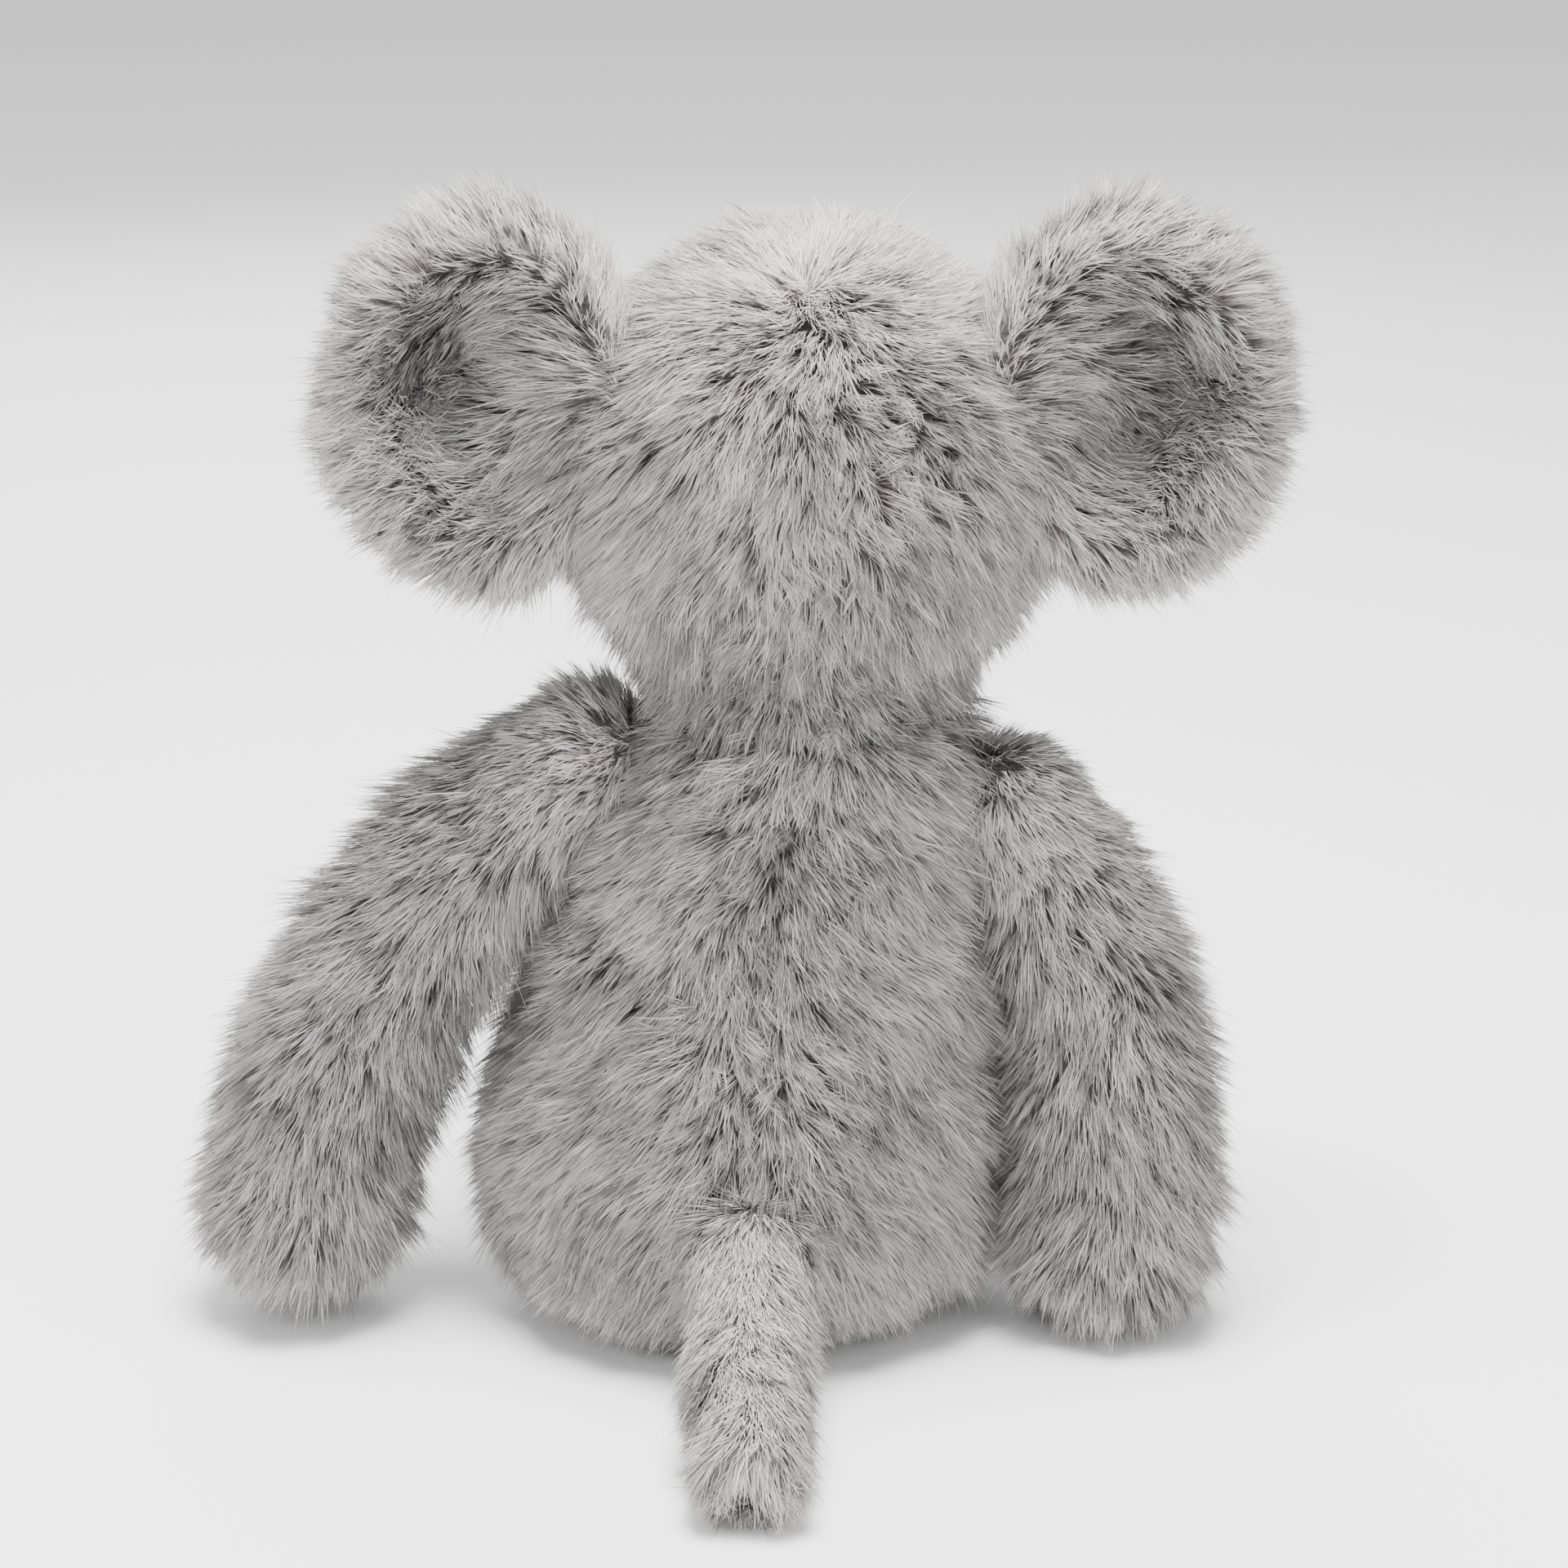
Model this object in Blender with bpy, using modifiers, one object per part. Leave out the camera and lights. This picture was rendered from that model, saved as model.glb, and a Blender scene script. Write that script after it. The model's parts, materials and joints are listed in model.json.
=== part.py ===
# Sitting stuffed elephant in long-pile plush: sewn panels over stuffing, head, trunk,
# ears, arms, legs and tail each able to move at the seam that holds it.
# Metres, +Z up, the toy faces -Y and sits on z = 0. Its own left is +X.

import math

import bmesh
import bpy
import numpy as np
from mathutils import Matrix, Vector

# Fits
GAP = 0.0005             # between two pieces that touch in the sewn toy
SEAM_GAP = 0.0016        # between torso panels, whose seam edges curve with the lean
SOCKET_GAP = 0.0014      # around the rounded root of a moving piece
FABRIC = 0.0040          # plush fabric with its pile pressed down
THIN_FABRIC = 0.0016     # short-napped fabric of the soles and the seat
CURVE_STEPS = 1          # points made between two points of an outline

# Torso: half widths of the pear at named heights
BASE_HALF = 0.042
UNDER_HALF = 0.057
UNDER_Z = 0.014
HIP_HALF = 0.0625
HIP_Z = 0.050
CHEST_HALF = 0.049
CHEST_Z = 0.115
NECK_HALF = 0.040
TORSO_TOP = 0.156
TORSO_DEPTH = 0.88       # depth over width
SIDE_SEAM_Y = -0.008
LEAN = 0.017             # how far the neck stands to the toy's right of the seat
SEAT_INSET = 0.003       # the seat panel's edge, inside the base
TORSO_STEPS = 24
SEAM_SLICES = 12         # straight runs that make up a leaning seam

# Pellet pouch in the seat
POUCH_HALF = 0.027
POUCH_HEIGHT = 0.015
POUCH_SHAPE = ((0.0, 1.0), (0.7, 0.86), (1.0, 0.45), (0.8, 0.0))  # shares of half width, height
POUCH_ROOM_SHAPE = ((0.75, 0.92), (1.0, 0.6))

# Neck and head
NECK_BALL = 0.030
NECK_RISE = 0.007        # the neck's centre above the torso panels
HEAD_HALF_WIDTH = 0.058
HEAD_HALF_DEPTH = 0.058
HEAD_HALF_HEIGHT = 0.0585
HEAD_FORWARD = 0.010
NECK_INTO_HEAD = 0.001   # how far the neck's centre lies above the head's lowest point
NECK_OPENING = 0.034
GUSSET_HALF = 0.016
GUSSET_END_RISE = 0.012  # above the head's centre, at the back
HEAD_STEPS = 24

# Eyes
EYE_RADIUS = 0.0065
EYE_DOME = 0.0050
SHANK_RADIUS = 0.0018
SHANK_LENGTH = 0.0105
WASHER_RADIUS = 0.0075
WASHER_THICKNESS = 0.0012
EYE_TURN = math.radians(34)
EYE_RAISE = math.radians(14)

# Ears
EAR_HALF_WIDTH = 0.035
EAR_HALF_HEIGHT = 0.044
EAR_CUP = 0.014          # how far the rim stands behind the middle
EAR_OVERLAP = 0.020      # the ear's oval reaches this far over the head's side
EAR_RISE = 0.021
EAR_BACK = 0.006
EAR_WADDING = 0.0030
EAR_WADDING_INSET = 0.004
EAR_CLEARANCE = 0.0045   # between the ear's root and the head
EAR_RIM_BEVEL = 0.35     # share of a layer's thickness that its rim slopes in by
EAR_STEPS = 18

# Trunk
TRUNK_ROOT = 0.0135
TRUNK_MIDDLE = 0.0135
TRUNK_TIP = 0.0100
TRUNK_LENGTH = 0.092
TRUNK_OUT = 0.0060       # its root's centre, outside the face
TRUNK_DROP = 0.013       # its root's centre, below the head's centre
TRUNK_START = math.radians(48)
TRUNK_BEND = math.radians(38)
TRUNK_TIP_ROUNDNESS = 0.8

# Arms, left and right
ARM_ROOT = 0.0135
ARM_MIDDLE = 0.0200
ARM_HAND = 0.0220
SHOULDER_SINK = 0.0020   # how far an arm root's centre lies nearer the torso than its radius
SHOULDER_DROP = {"left": 0.009, "right": 0.022}  # below the top of the torso panels
SHOULDER_BACK = 0.004
HAND_SPREAD = {"left": 0.029, "right": 0.011}
HAND_BACK = {"left": 0.006, "right": 0.014}
ARM_BOW = {"left": 0.014, "right": 0.010}
HAND_ABOVE_FLOOR = {"left": 0.0100, "right": 0.0040}

# Legs
LEG_ROOT = 0.0175
LEG_MIDDLE = 0.0200
FOOT_HALF = 0.0225
FOOT_EDGE = 0.005        # depth of the foot's rounded edge
FOOT_BEVEL = 0.002
SOLE_HALF = 0.0175
LEG_LENGTH = 0.074
LEG_MIDDLE_AT = 0.45     # share of the length at which its middle size holds
HIP_SPACING = 0.050      # between the two leg roots
HIP_OUT = 0.0070         # a leg root's centre, outside the belly
LEG_TOE_OUT = math.radians(3)
LEG_ABOVE_FLOOR = 0.0008

# Tail
TAIL_ROOT = 0.0110
TAIL_MIDDLE = 0.0120
TAIL_TIP = 0.0095
TAIL_LENGTH = 0.083
TAIL_OUT = 0.0065        # its root's centre, outside the back
TAIL_Z = 0.027
TAIL_SIDE = -0.003
TAIL_ABOVE_FLOOR = 0.0008
TAIL_TIP_ROUNDNESS = 0.7

# What every limb shares
ROOT_OPENING = math.radians(40)  # half angle of the open, sewn end of a rounded root
ROOT_NECK = 0.004        # how far past the root's centre a limb starts to swell
MIDDLE_AT = 0.42         # share of a limb's length at which its middle size holds
LIMB_STEPS = 14

CUT_REACH = 0.2          # past every side of the toy
SIDES = {"left": 1, "right": -1}

FUR_GREY = (0.30, 0.275, 0.275)
PALE_FUR = (0.42, 0.39, 0.39)
LINING_GREY = (0.20, 0.185, 0.185)
FIBRE_WHITE = (0.82, 0.81, 0.78)
POUCH_CREAM = (0.70, 0.66, 0.56)
EYE_BLACK = (0.012, 0.010, 0.010)
WASHER_NATURAL = (0.55, 0.55, 0.52)


def clear_scene():
    for obj in list(bpy.data.objects):
        bpy.data.objects.remove(obj, do_unlink=True)


def new_collection(name):
    collection = bpy.data.collections.new(name)
    bpy.context.scene.collection.children.link(collection)
    return collection


def material(name, colour, roughness):
    made = bpy.data.materials.new(name)
    made.use_nodes = True
    shader = made.node_tree.nodes["Principled BSDF"]
    shader.inputs["Base Color"].default_value = (*colour, 1.0)
    shader.inputs["Roughness"].default_value = roughness
    shader.inputs["Metallic"].default_value = 0.0
    made.diffuse_color = (*colour, 1.0)
    return made


# A smooth curve through the given points (Catmull-Rom), ends included.
def smooth(points):
    known = np.array(points, dtype=float)
    padded = np.vstack([2 * known[0] - known[1], known, 2 * known[-1] - known[-2]])
    t = np.arange(CURVE_STEPS + 1)[:, None] / (CURVE_STEPS + 1)
    spans = []
    for a, b, c, d in zip(padded, padded[1:], padded[2:], padded[3:]):
        bend = 2 * a - 5 * b + 4 * c - d
        twist = 3 * b - a - 3 * c + d
        spans.append(0.5 * (2 * b + (c - a) * t + bend * t ** 2 + twist * t ** 3))
    return np.vstack(spans + [known[-1:]])


# An outline moved inwards by a distance; points on the axis stay on it.
def inset(outline, distance):
    along = np.gradient(outline, axis=0)
    along /= np.linalg.norm(along, axis=1)[:, None]
    inward = np.column_stack([along[:, 1], -along[:, 0]])
    moved = outline + inward * distance
    on_axis = outline[:, 0] < 1e-9
    moved[on_axis, 0] = 0.0
    moved[:, 0] = np.maximum(moved[:, 0], 0.0)
    return moved


# An arc from one angle to another, angles measured from +X towards +Z.
def arc(centre, radius, start, end, count):
    turn = np.linspace(start, end, count)
    return np.column_stack([centre[0] + radius * np.cos(turn), centre[1] + radius * np.sin(turn)])


# The mesh made by turning an outline of (radius, height) about Z.
def turned(outline, steps, closed=False):
    mesh = bpy.data.meshes.new("outline")
    points = [(float(r), 0.0, float(z)) for r, z in outline]
    joined = list(range(len(points))) + ([0] if closed else [])
    edges = [(a, b) for a, b in zip(joined, joined[1:]) if points[a][0] or points[b][0]]
    mesh.from_pydata(points, edges, [])
    carrier = bpy.data.objects.new("outline", mesh)
    bpy.context.scene.collection.objects.link(carrier)
    screw = carrier.modifiers.new("Turn", "SCREW")
    screw.steps = screw.render_steps = steps
    screw.use_merge_vertices = True
    screw.merge_threshold = 0.00001
    result = frozen(carrier)
    tidy(result)
    return result


# The evaluated mesh of an object, which is then removed.
def frozen(obj):
    bpy.context.view_layer.update()
    graph = bpy.context.evaluated_depsgraph_get()
    result = bpy.data.meshes.new_from_object(obj.evaluated_get(graph))
    bpy.data.objects.remove(obj, do_unlink=True)
    return result


def tidy(mesh):
    work = bmesh.new()
    work.from_mesh(mesh)
    bmesh.ops.remove_doubles(work, verts=work.verts, dist=0.000005)
    bmesh.ops.recalc_face_normals(work, faces=work.faces)
    work.to_mesh(mesh)
    work.free()


def positions(mesh):
    flat = np.empty(len(mesh.vertices) * 3, dtype=np.float32)
    mesh.vertices.foreach_get("co", flat)
    return flat.reshape(-1, 3).astype(float)


def set_positions(mesh, points):
    mesh.vertices.foreach_set("co", points.astype(np.float32).ravel())
    mesh.update()


def scaled(mesh, x, y, z):
    set_positions(mesh, positions(mesh) * np.array([x, y, z]))
    return mesh


def moved(mesh, x, y, z):
    set_positions(mesh, positions(mesh) + np.array([x, y, z]))
    return mesh


# Both sides of a wall as one closed outline: down the outside, up the inside.
def wall(outline, thickness):
    return np.vstack([outline, inset(outline, thickness)[::-1]])


def place(name, mesh, surface, location=(0, 0, 0), turn=None, parent=None, smooth_shading=True):
    obj = bpy.data.objects.new(name, mesh)
    toy.objects.link(obj)
    obj.data.materials.clear()
    obj.data.materials.append(surface)
    if turn is not None:
        obj.rotation_euler = turn.to_euler()
    obj.location = location
    obj.parent = parent
    if smooth_shading:
        obj.data.shade_smooth()
        obj.data.set_sharp_from_angle(angle=math.radians(40))
    return obj


def joint_empty(name, location, parent=None):
    empty = bpy.data.objects.new(name, None)
    toy.objects.link(empty)
    empty.empty_display_size = 0.01
    empty.location = Vector(location) - (Vector(parent["at"]) if parent else Vector())
    empty["at"] = tuple(location)
    empty.parent = parent
    return empty


def cutter(name, mesh, location=(0, 0, 0), turn=None):
    obj = bpy.data.objects.new(name, mesh)
    cutters.objects.link(obj)
    obj.hide_render = True
    obj.display_type = "WIRE"
    obj.location = location
    if turn is not None:
        obj.rotation_euler = turn.to_euler()
    return obj


def combine(obj, tool, operation="DIFFERENCE"):
    boolean = obj.modifiers.new(operation.title() + " " + tool.name, "BOOLEAN")
    boolean.operation = operation
    boolean.solver = "EXACT"
    boolean.object = tool


def ball(radius, segments=18):
    mesh = bpy.data.meshes.new("ball")
    work = bmesh.new()
    bmesh.ops.create_uvsphere(work, u_segments=segments, v_segments=segments // 2, radius=radius)
    work.to_mesh(mesh)
    work.free()
    return mesh


def rod(radius, length, segments=16):
    mesh = bpy.data.meshes.new("rod")
    work = bmesh.new()
    bmesh.ops.create_cone(work, cap_ends=True, segments=segments, radius1=radius,
                          radius2=radius, depth=length)
    work.to_mesh(mesh)
    work.free()
    return mesh


# A block between two corners.
def block(low, high):
    mesh = bpy.data.meshes.new("block")
    work = bmesh.new()
    bmesh.ops.create_cube(work, size=1.0)
    size = [b - a for a, b in zip(low, high)]
    middle = [(a + b) / 2 for a, b in zip(low, high)]
    bmesh.ops.scale(work, vec=size, verts=work.verts)
    bmesh.ops.translate(work, vec=middle, verts=work.verts)
    work.to_mesh(mesh)
    work.free()
    return mesh


# A mesh cut into level slices, so that its tall faces can lean as a curve.
def sliced(mesh, levels):
    work = bmesh.new()
    work.from_mesh(mesh)
    for z in levels:
        bmesh.ops.bisect_plane(work, geom=[*work.verts, *work.edges, *work.faces],
                               plane_co=(0, 0, z), plane_no=(0, 0, 1))
    work.to_mesh(mesh)
    work.free()
    return mesh


# A flat outline in YZ made into a slab that reaches the same way to both sides of x = 0.
def slab(outline, half_width):
    mesh = bpy.data.meshes.new("slab")
    work = bmesh.new()
    corners = [work.verts.new((-half_width, y, z)) for y, z in outline]
    face = work.faces.new(corners)
    grown = bmesh.ops.extrude_face_region(work, geom=[face])
    far = [v for v in grown["geom"] if isinstance(v, bmesh.types.BMVert)]
    bmesh.ops.translate(work, vec=(2 * half_width, 0, 0), verts=far)
    bmesh.ops.recalc_face_normals(work, faces=work.faces)
    work.to_mesh(mesh)
    work.free()
    return mesh


# ---- Torso outline and what is measured from it ----

# Sideways shift of the torso at a height: nothing at the seat, LEAN at the top.
def lean(z):
    return -LEAN * (np.clip(z, 0.0, None) / TORSO_TOP) ** 2


def torso_outline():
    return smooth([(NECK_HALF, TORSO_TOP), (CHEST_HALF, CHEST_Z), (HIP_HALF, HIP_Z),
                   (UNDER_HALF, UNDER_Z), (BASE_HALF, 0.0)])


def torso_half(z):
    outline = torso_outline()[::-1]
    return float(np.interp(z, outline[:, 1], outline[:, 0]))


# How far the torso reaches forwards or backwards at a height, off its middle by `side`.
def torso_reach(z, side):
    half = torso_half(z)
    return TORSO_DEPTH * math.sqrt(half ** 2 - side ** 2)


def leaned(mesh):
    points = positions(mesh)
    points[:, 1] *= TORSO_DEPTH
    points[:, 0] += lean(points[:, 2])
    set_positions(mesh, points)
    return mesh


NECK_Z = TORSO_TOP + NECK_RISE
NECK_CENTRE = (-LEAN, 0.0, NECK_Z)
HEAD_CENTRE = (-LEAN, -HEAD_FORWARD, NECK_Z - NECK_INTO_HEAD + HEAD_HALF_HEIGHT)


def shoulder_centre(side):
    z = TORSO_TOP - SHOULDER_DROP[side]
    return (float(lean(z)) + SIDES[side] * (torso_half(z) + ARM_ROOT - SHOULDER_SINK), SHOULDER_BACK, z)


def hip_centre(side):
    z = LEG_MIDDLE + LEG_ABOVE_FLOOR
    across = HIP_SPACING / 2
    return (SIDES[side] * across, -torso_reach(z, across) - HIP_OUT, z)


TAIL_CENTRE = (TAIL_SIDE, torso_reach(TAIL_Z, 0.0) + TAIL_OUT, TAIL_Z)


# ---- Limbs: turned about their own length, then bowed ----

# Outer outline of a limb from its rounded, open root to its tip. Heights fall along the limb.
def limb_outline(root, middle, end, length, tip_roundness):
    start = arc((0, 0), root, math.pi / 2 - ROOT_OPENING, 0.0, 3)
    tip_height = tip_roundness * end
    tip_start = tip_height - length
    body = smooth([(root, -ROOT_NECK), (middle, -MIDDLE_AT * length), (end, tip_start)])
    tip = arc((0, 0), 1.0, 0.0, -math.pi / 2, 5)[1:] * np.array([end, tip_height])
    tip[:, 1] += tip_start
    tip[-1, 0] = 0.0
    return np.vstack([start, body, tip])


# The stuffing inside a limb's skin, closed at the root.
def core_outline(outline, thickness):
    core = inset(outline, thickness + GAP)
    return np.vstack([[0.0, core[0, 1]], core])


# Bows a limb that hangs along -Z towards +X, by an angle spread over its length.
def bowed(mesh, angle, length):
    if abs(angle) < 1e-6:
        return mesh
    radius = length / angle
    points = positions(mesh)
    run = np.clip(-points[:, 2], 0.0, None)
    turn = run / radius
    rest = points[:, 2] + run
    x = radius * (1 - np.cos(turn)) + points[:, 0] * np.cos(turn)
    z = -radius * np.sin(turn) + points[:, 0] * np.sin(turn) + rest
    set_positions(mesh, np.column_stack([x, points[:, 1], z]))
    return mesh


def limb(name, outline, surface, centre, turn, bow=0.0, length=0.0, parent=None):
    skin = bowed(turned(wall(outline, FABRIC), LIMB_STEPS, closed=True), bow, length)
    core = bowed(turned(core_outline(outline, FABRIC), LIMB_STEPS), bow, length)
    joint = joint_empty(name + "_joint", centre, parent)
    place(name + "_skin", skin, surface, turn=turn, parent=joint)
    place(name + "_stuffing", core, fibre, turn=turn, parent=joint)
    return joint


# ---- Assemblies ----

def build_torso():
    outline = torso_outline()
    shell = wall(outline, FABRIC)
    reach = CUT_REACH
    half_seam = SEAM_GAP / 2
    front, back = SIDE_SEAM_Y - half_seam, SIDE_SEAM_Y + half_seam
    seam_levels = np.linspace(0.0, TORSO_TOP, SEAM_SLICES + 1)[1:-1]
    sectors = {
        "belly_panel": ((-reach, -reach, -reach), (reach, front, reach), []),
        "back_panel_left": ((half_seam, back, -reach), (reach, reach, reach), seam_levels),
        "back_panel_right": ((-reach, back, -reach), (-half_seam, reach, reach), seam_levels),
    }
    sockets = [neck_socket, tail_socket, *hip_sockets, *shoulder_sockets]
    for name, (low, high, levels) in sectors.items():
        carrier = bpy.data.objects.new("sector", turned(shell, TORSO_STEPS, closed=True))
        bpy.context.scene.collection.objects.link(carrier)
        sector = cutter(name + "_sector", sliced(block(low, high), levels))
        combine(carrier, sector, "INTERSECT")
        mesh = leaned(frozen(carrier))
        bpy.data.objects.remove(sector, do_unlink=True)
        panel = place(name, mesh, fur)
        for socket in sockets:
            combine(panel, socket)

    seat_half = BASE_HALF - SEAT_INSET
    seat = [(0.0, THIN_FABRIC), (seat_half, THIN_FABRIC), (seat_half, 0.0), (0.0, 0.0)]
    place("seat_panel", leaned(turned(seat, TORSO_STEPS)), lining, smooth_shading=False)

    floor = THIN_FABRIC + GAP
    core = inset(outline, FABRIC + GAP)
    core = core[core[:, 1] > floor]
    filled = np.vstack([[0.0, core[0, 1]], core, [core[-1, 0], floor], [0.0, floor]])
    stuffing = place("torso_stuffing", leaned(turned(filled, TORSO_STEPS)), fibre)
    pouch_size = np.array([POUCH_HALF, POUCH_HEIGHT])
    pouch_line = smooth(np.array(POUCH_SHAPE) * pouch_size)
    pouch_line[0, 0] = 0.0
    pouch = np.vstack([pouch_line, [0.0, 0.0]])
    lift = floor + GAP
    place("pellet_pouch", moved(leaned(turned(pouch, LIMB_STEPS)), 0, 0, lift), pouch_cloth)
    shoulder, side = np.array(POUCH_ROOM_SHAPE) * pouch_size + np.array([(0.0, GAP), (3 * GAP, 0.0)])
    hollow = np.array([(0.0, POUCH_HEIGHT + 2 * GAP), shoulder, side, (side[0], -lift - GAP),
                       (0.0, -lift - GAP)])
    recess = cutter("pouch_recess", moved(leaned(turned(hollow, LIMB_STEPS)), 0, 0, lift))
    for tool in [recess, *sockets]:
        combine(stuffing, tool)


def head_surface(turn, raise_by):
    half = Vector((HEAD_HALF_WIDTH, HEAD_HALF_DEPTH, HEAD_HALF_HEIGHT))
    ray = Vector((math.sin(turn) * math.cos(raise_by), -math.cos(turn) * math.cos(raise_by),
                  math.sin(raise_by)))
    point = Vector([r * h for r, h in zip(ray, half)])
    normal = Vector([p / h ** 2 for p, h in zip(point, half)]).normalized()
    return point, normal


def head_outline():
    opening = math.acos(NECK_OPENING / HEAD_HALF_WIDTH)
    line = arc((0, 0), 1.0, math.pi / 2, -opening, 11)
    line[0, 0] = 0.0
    return line * np.array([HEAD_HALF_WIDTH, HEAD_HALF_HEIGHT])


def build_head(neck):
    depth = HEAD_HALF_DEPTH / HEAD_HALF_WIDTH
    outline = head_outline()
    offset = Vector(HEAD_CENTRE) - Vector(NECK_CENTRE)
    reach = CUT_REACH
    crown = GUSSET_END_RISE
    gusset_line = [(-reach, -reach), (0.0, -reach), (0.0, crown), (reach, crown), (reach, reach),
                   (-reach, reach)]
    grown_line = [(-reach, -reach), (GAP, -reach), (GAP, crown - GAP), (reach, crown - GAP),
                  (reach, reach), (-reach, reach)]
    gusset_tool = cutter("gusset_outline", slab(gusset_line, GUSSET_HALF), HEAD_CENTRE)
    seam_tool = cutter("gusset_seam", slab(grown_line, GUSSET_HALF + GAP), HEAD_CENTRE)
    halves = {
        "left": ((GAP / 2, -reach, -reach), (reach, reach, reach)),
        "right": ((-reach, -reach, -reach), (-GAP / 2, reach, reach)),
    }
    half_tools = {side: cutter("head_half_" + side, block(*corners), HEAD_CENTRE)
                  for side, corners in halves.items()}
    eye_spots = {side: head_surface(sign * EYE_TURN, EYE_RAISE) for side, sign in SIDES.items()}
    eye_turns = {side: normal.to_track_quat("Z", "Y") for side, (point, normal) in eye_spots.items()}
    shank_holes = {}
    washer_rooms = {}
    for side, (point, normal) in eye_spots.items():
        at = Vector(HEAD_CENTRE) + point
        shank_holes[side] = cutter("shank_hole_" + side, rod(SHANK_RADIUS + GAP, 4 * FABRIC), at,
                                   eye_turns[side])
        inside = at - normal * (FABRIC + SHANK_LENGTH) / 2
        washer_rooms[side] = cutter("washer_room_" + side, rod(WASHER_RADIUS + 2 * GAP, SHANK_LENGTH),
                                    inside - normal * FABRIC / 2, eye_turns[side])

    for name in ("head_side_left", "head_side_right", "head_gusset"):
        mesh = scaled(turned(wall(outline, FABRIC), HEAD_STEPS, closed=True), 1, depth, 1)
        panel = place(name, mesh, fur, offset, parent=neck)
        side = name.rsplit("_", 1)[1]
        if side in SIDES:
            combine(panel, half_tools[side], "INTERSECT")
            combine(panel, seam_tool)
            combine(panel, shank_holes[side])
        else:
            combine(panel, gusset_tool, "INTERSECT")
        combine(panel, neck_socket)
        combine(panel, trunk_socket)

    core = core_line(outline)
    stuffing = place("head_stuffing", scaled(turned(core, HEAD_STEPS), 1, depth, 1), fibre, offset,
                     parent=neck)
    for tool in (neck_socket, trunk_socket, *washer_rooms.values()):
        combine(stuffing, tool)
    for side, (point, normal) in eye_spots.items():
        build_eye(side, offset + point, normal, eye_turns[side], neck)


# The head's stuffing: the fabric's inner face, closed across the neck opening.
def core_line(outline):
    core = inset(outline, FABRIC + GAP)
    core[0, 0] = 0.0
    return np.vstack([core, [0.0, core[-1, 1]]])


def build_eye(side, at, normal, turn, neck):
    dome = arc((0, 0), 1.0, math.pi / 2, 0.0, 6) * np.array([EYE_RADIUS, EYE_DOME])
    dome[0, 0] = 0.0
    tail_end = -SHANK_LENGTH
    outline = np.vstack([dome, [(SHANK_RADIUS, 0.0), (SHANK_RADIUS, tail_end), (0.0, tail_end)]])
    place("eye_" + side, turned(outline, LIMB_STEPS), eye_plastic, at + normal * GAP, turn, neck)
    bore = SHANK_RADIUS + GAP
    low = -WASHER_THICKNESS
    ring = [(bore, 0.0), (WASHER_RADIUS, 0.0), (WASHER_RADIUS, low), (bore, low)]
    deep = FABRIC + 3 * GAP
    place("eye_washer_" + side, turned(ring, LIMB_STEPS, closed=True), washer_plastic,
          at - normal * deep, turn, neck, smooth_shading=False)


# One dished layer of an ear: an oval cap between two depths, about the ear's middle.
def ear_layer(front, back, margin):
    reach = np.linspace(0.0, 1.0, 5)
    rim = EAR_HALF_HEIGHT - margin
    cup = EAR_CUP * (reach * rim / EAR_HALF_HEIGHT) ** 2
    near = np.column_stack([reach * rim, cup + back])
    far = np.column_stack([reach * rim, cup + front])
    near[-1, 0] = far[-1, 0] = rim - EAR_RIM_BEVEL * (back - front)
    middle = [(rim, float(cup[-1] + (back + front) / 2))]
    return np.vstack([near, middle, far[::-1]])


def ear_axis(side):
    x, y, z = HEAD_CENTRE
    return (x + SIDES[side] * (HEAD_HALF_WIDTH + EAR_CLEARANCE), y + EAR_BACK, z + EAR_RISE)


def build_ears(head):
    half = np.array([HEAD_HALF_WIDTH, HEAD_HALF_DEPTH, HEAD_HALF_HEIGHT]) + EAR_CLEARANCE
    room = cutter("ear_root_room", scaled(ball(1.0, 24), *half), HEAD_CENTRE)
    outer = FABRIC + GAP + EAR_WADDING
    layers = {
        "ear_front_": (-outer, -outer + FABRIC, 0.0, fur),
        "ear_wadding_": (-outer + FABRIC + GAP, -GAP, EAR_WADDING_INSET, fibre),
        "ear_back_": (0.0, FABRIC, 0.0, pale_fur),
    }
    for side, sign in SIDES.items():
        at = ear_axis(side)
        joint = joint_empty("ear_joint_" + side, at, head)
        inboard = EAR_HALF_WIDTH - EAR_OVERLAP
        for name, (front, back, margin, surface) in layers.items():
            mesh = scaled(turned(ear_layer(front, back, margin), EAR_STEPS, closed=False),
                          EAR_HALF_WIDTH / EAR_HALF_HEIGHT, 1, 1)
            mesh.transform(Matrix.Rotation(-math.pi / 2, 4, "X"))
            mesh.transform(Matrix.Translation((sign * inboard, 0, 0)))
            combine(place(name + side, mesh, surface, parent=joint), room)


def trunk_centre():
    x, y, z = HEAD_CENTRE
    front = HEAD_HALF_DEPTH * math.sqrt(1 - (TRUNK_DROP / HEAD_HALF_HEIGHT) ** 2)
    return (x, y - front - TRUNK_OUT, z - TRUNK_DROP)


def build_trunk(head):
    outline = limb_outline(TRUNK_ROOT, TRUNK_MIDDLE, TRUNK_TIP, TRUNK_LENGTH, TRUNK_TIP_ROUNDNESS)
    start = math.pi / 2 - TRUNK_START
    turn = Matrix.Rotation(-start, 3, "X") @ Matrix.Rotation(-math.pi / 2, 3, "Z")
    limb("trunk", outline, fur, trunk_centre(), turn, -TRUNK_BEND, TRUNK_LENGTH, head)


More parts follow.
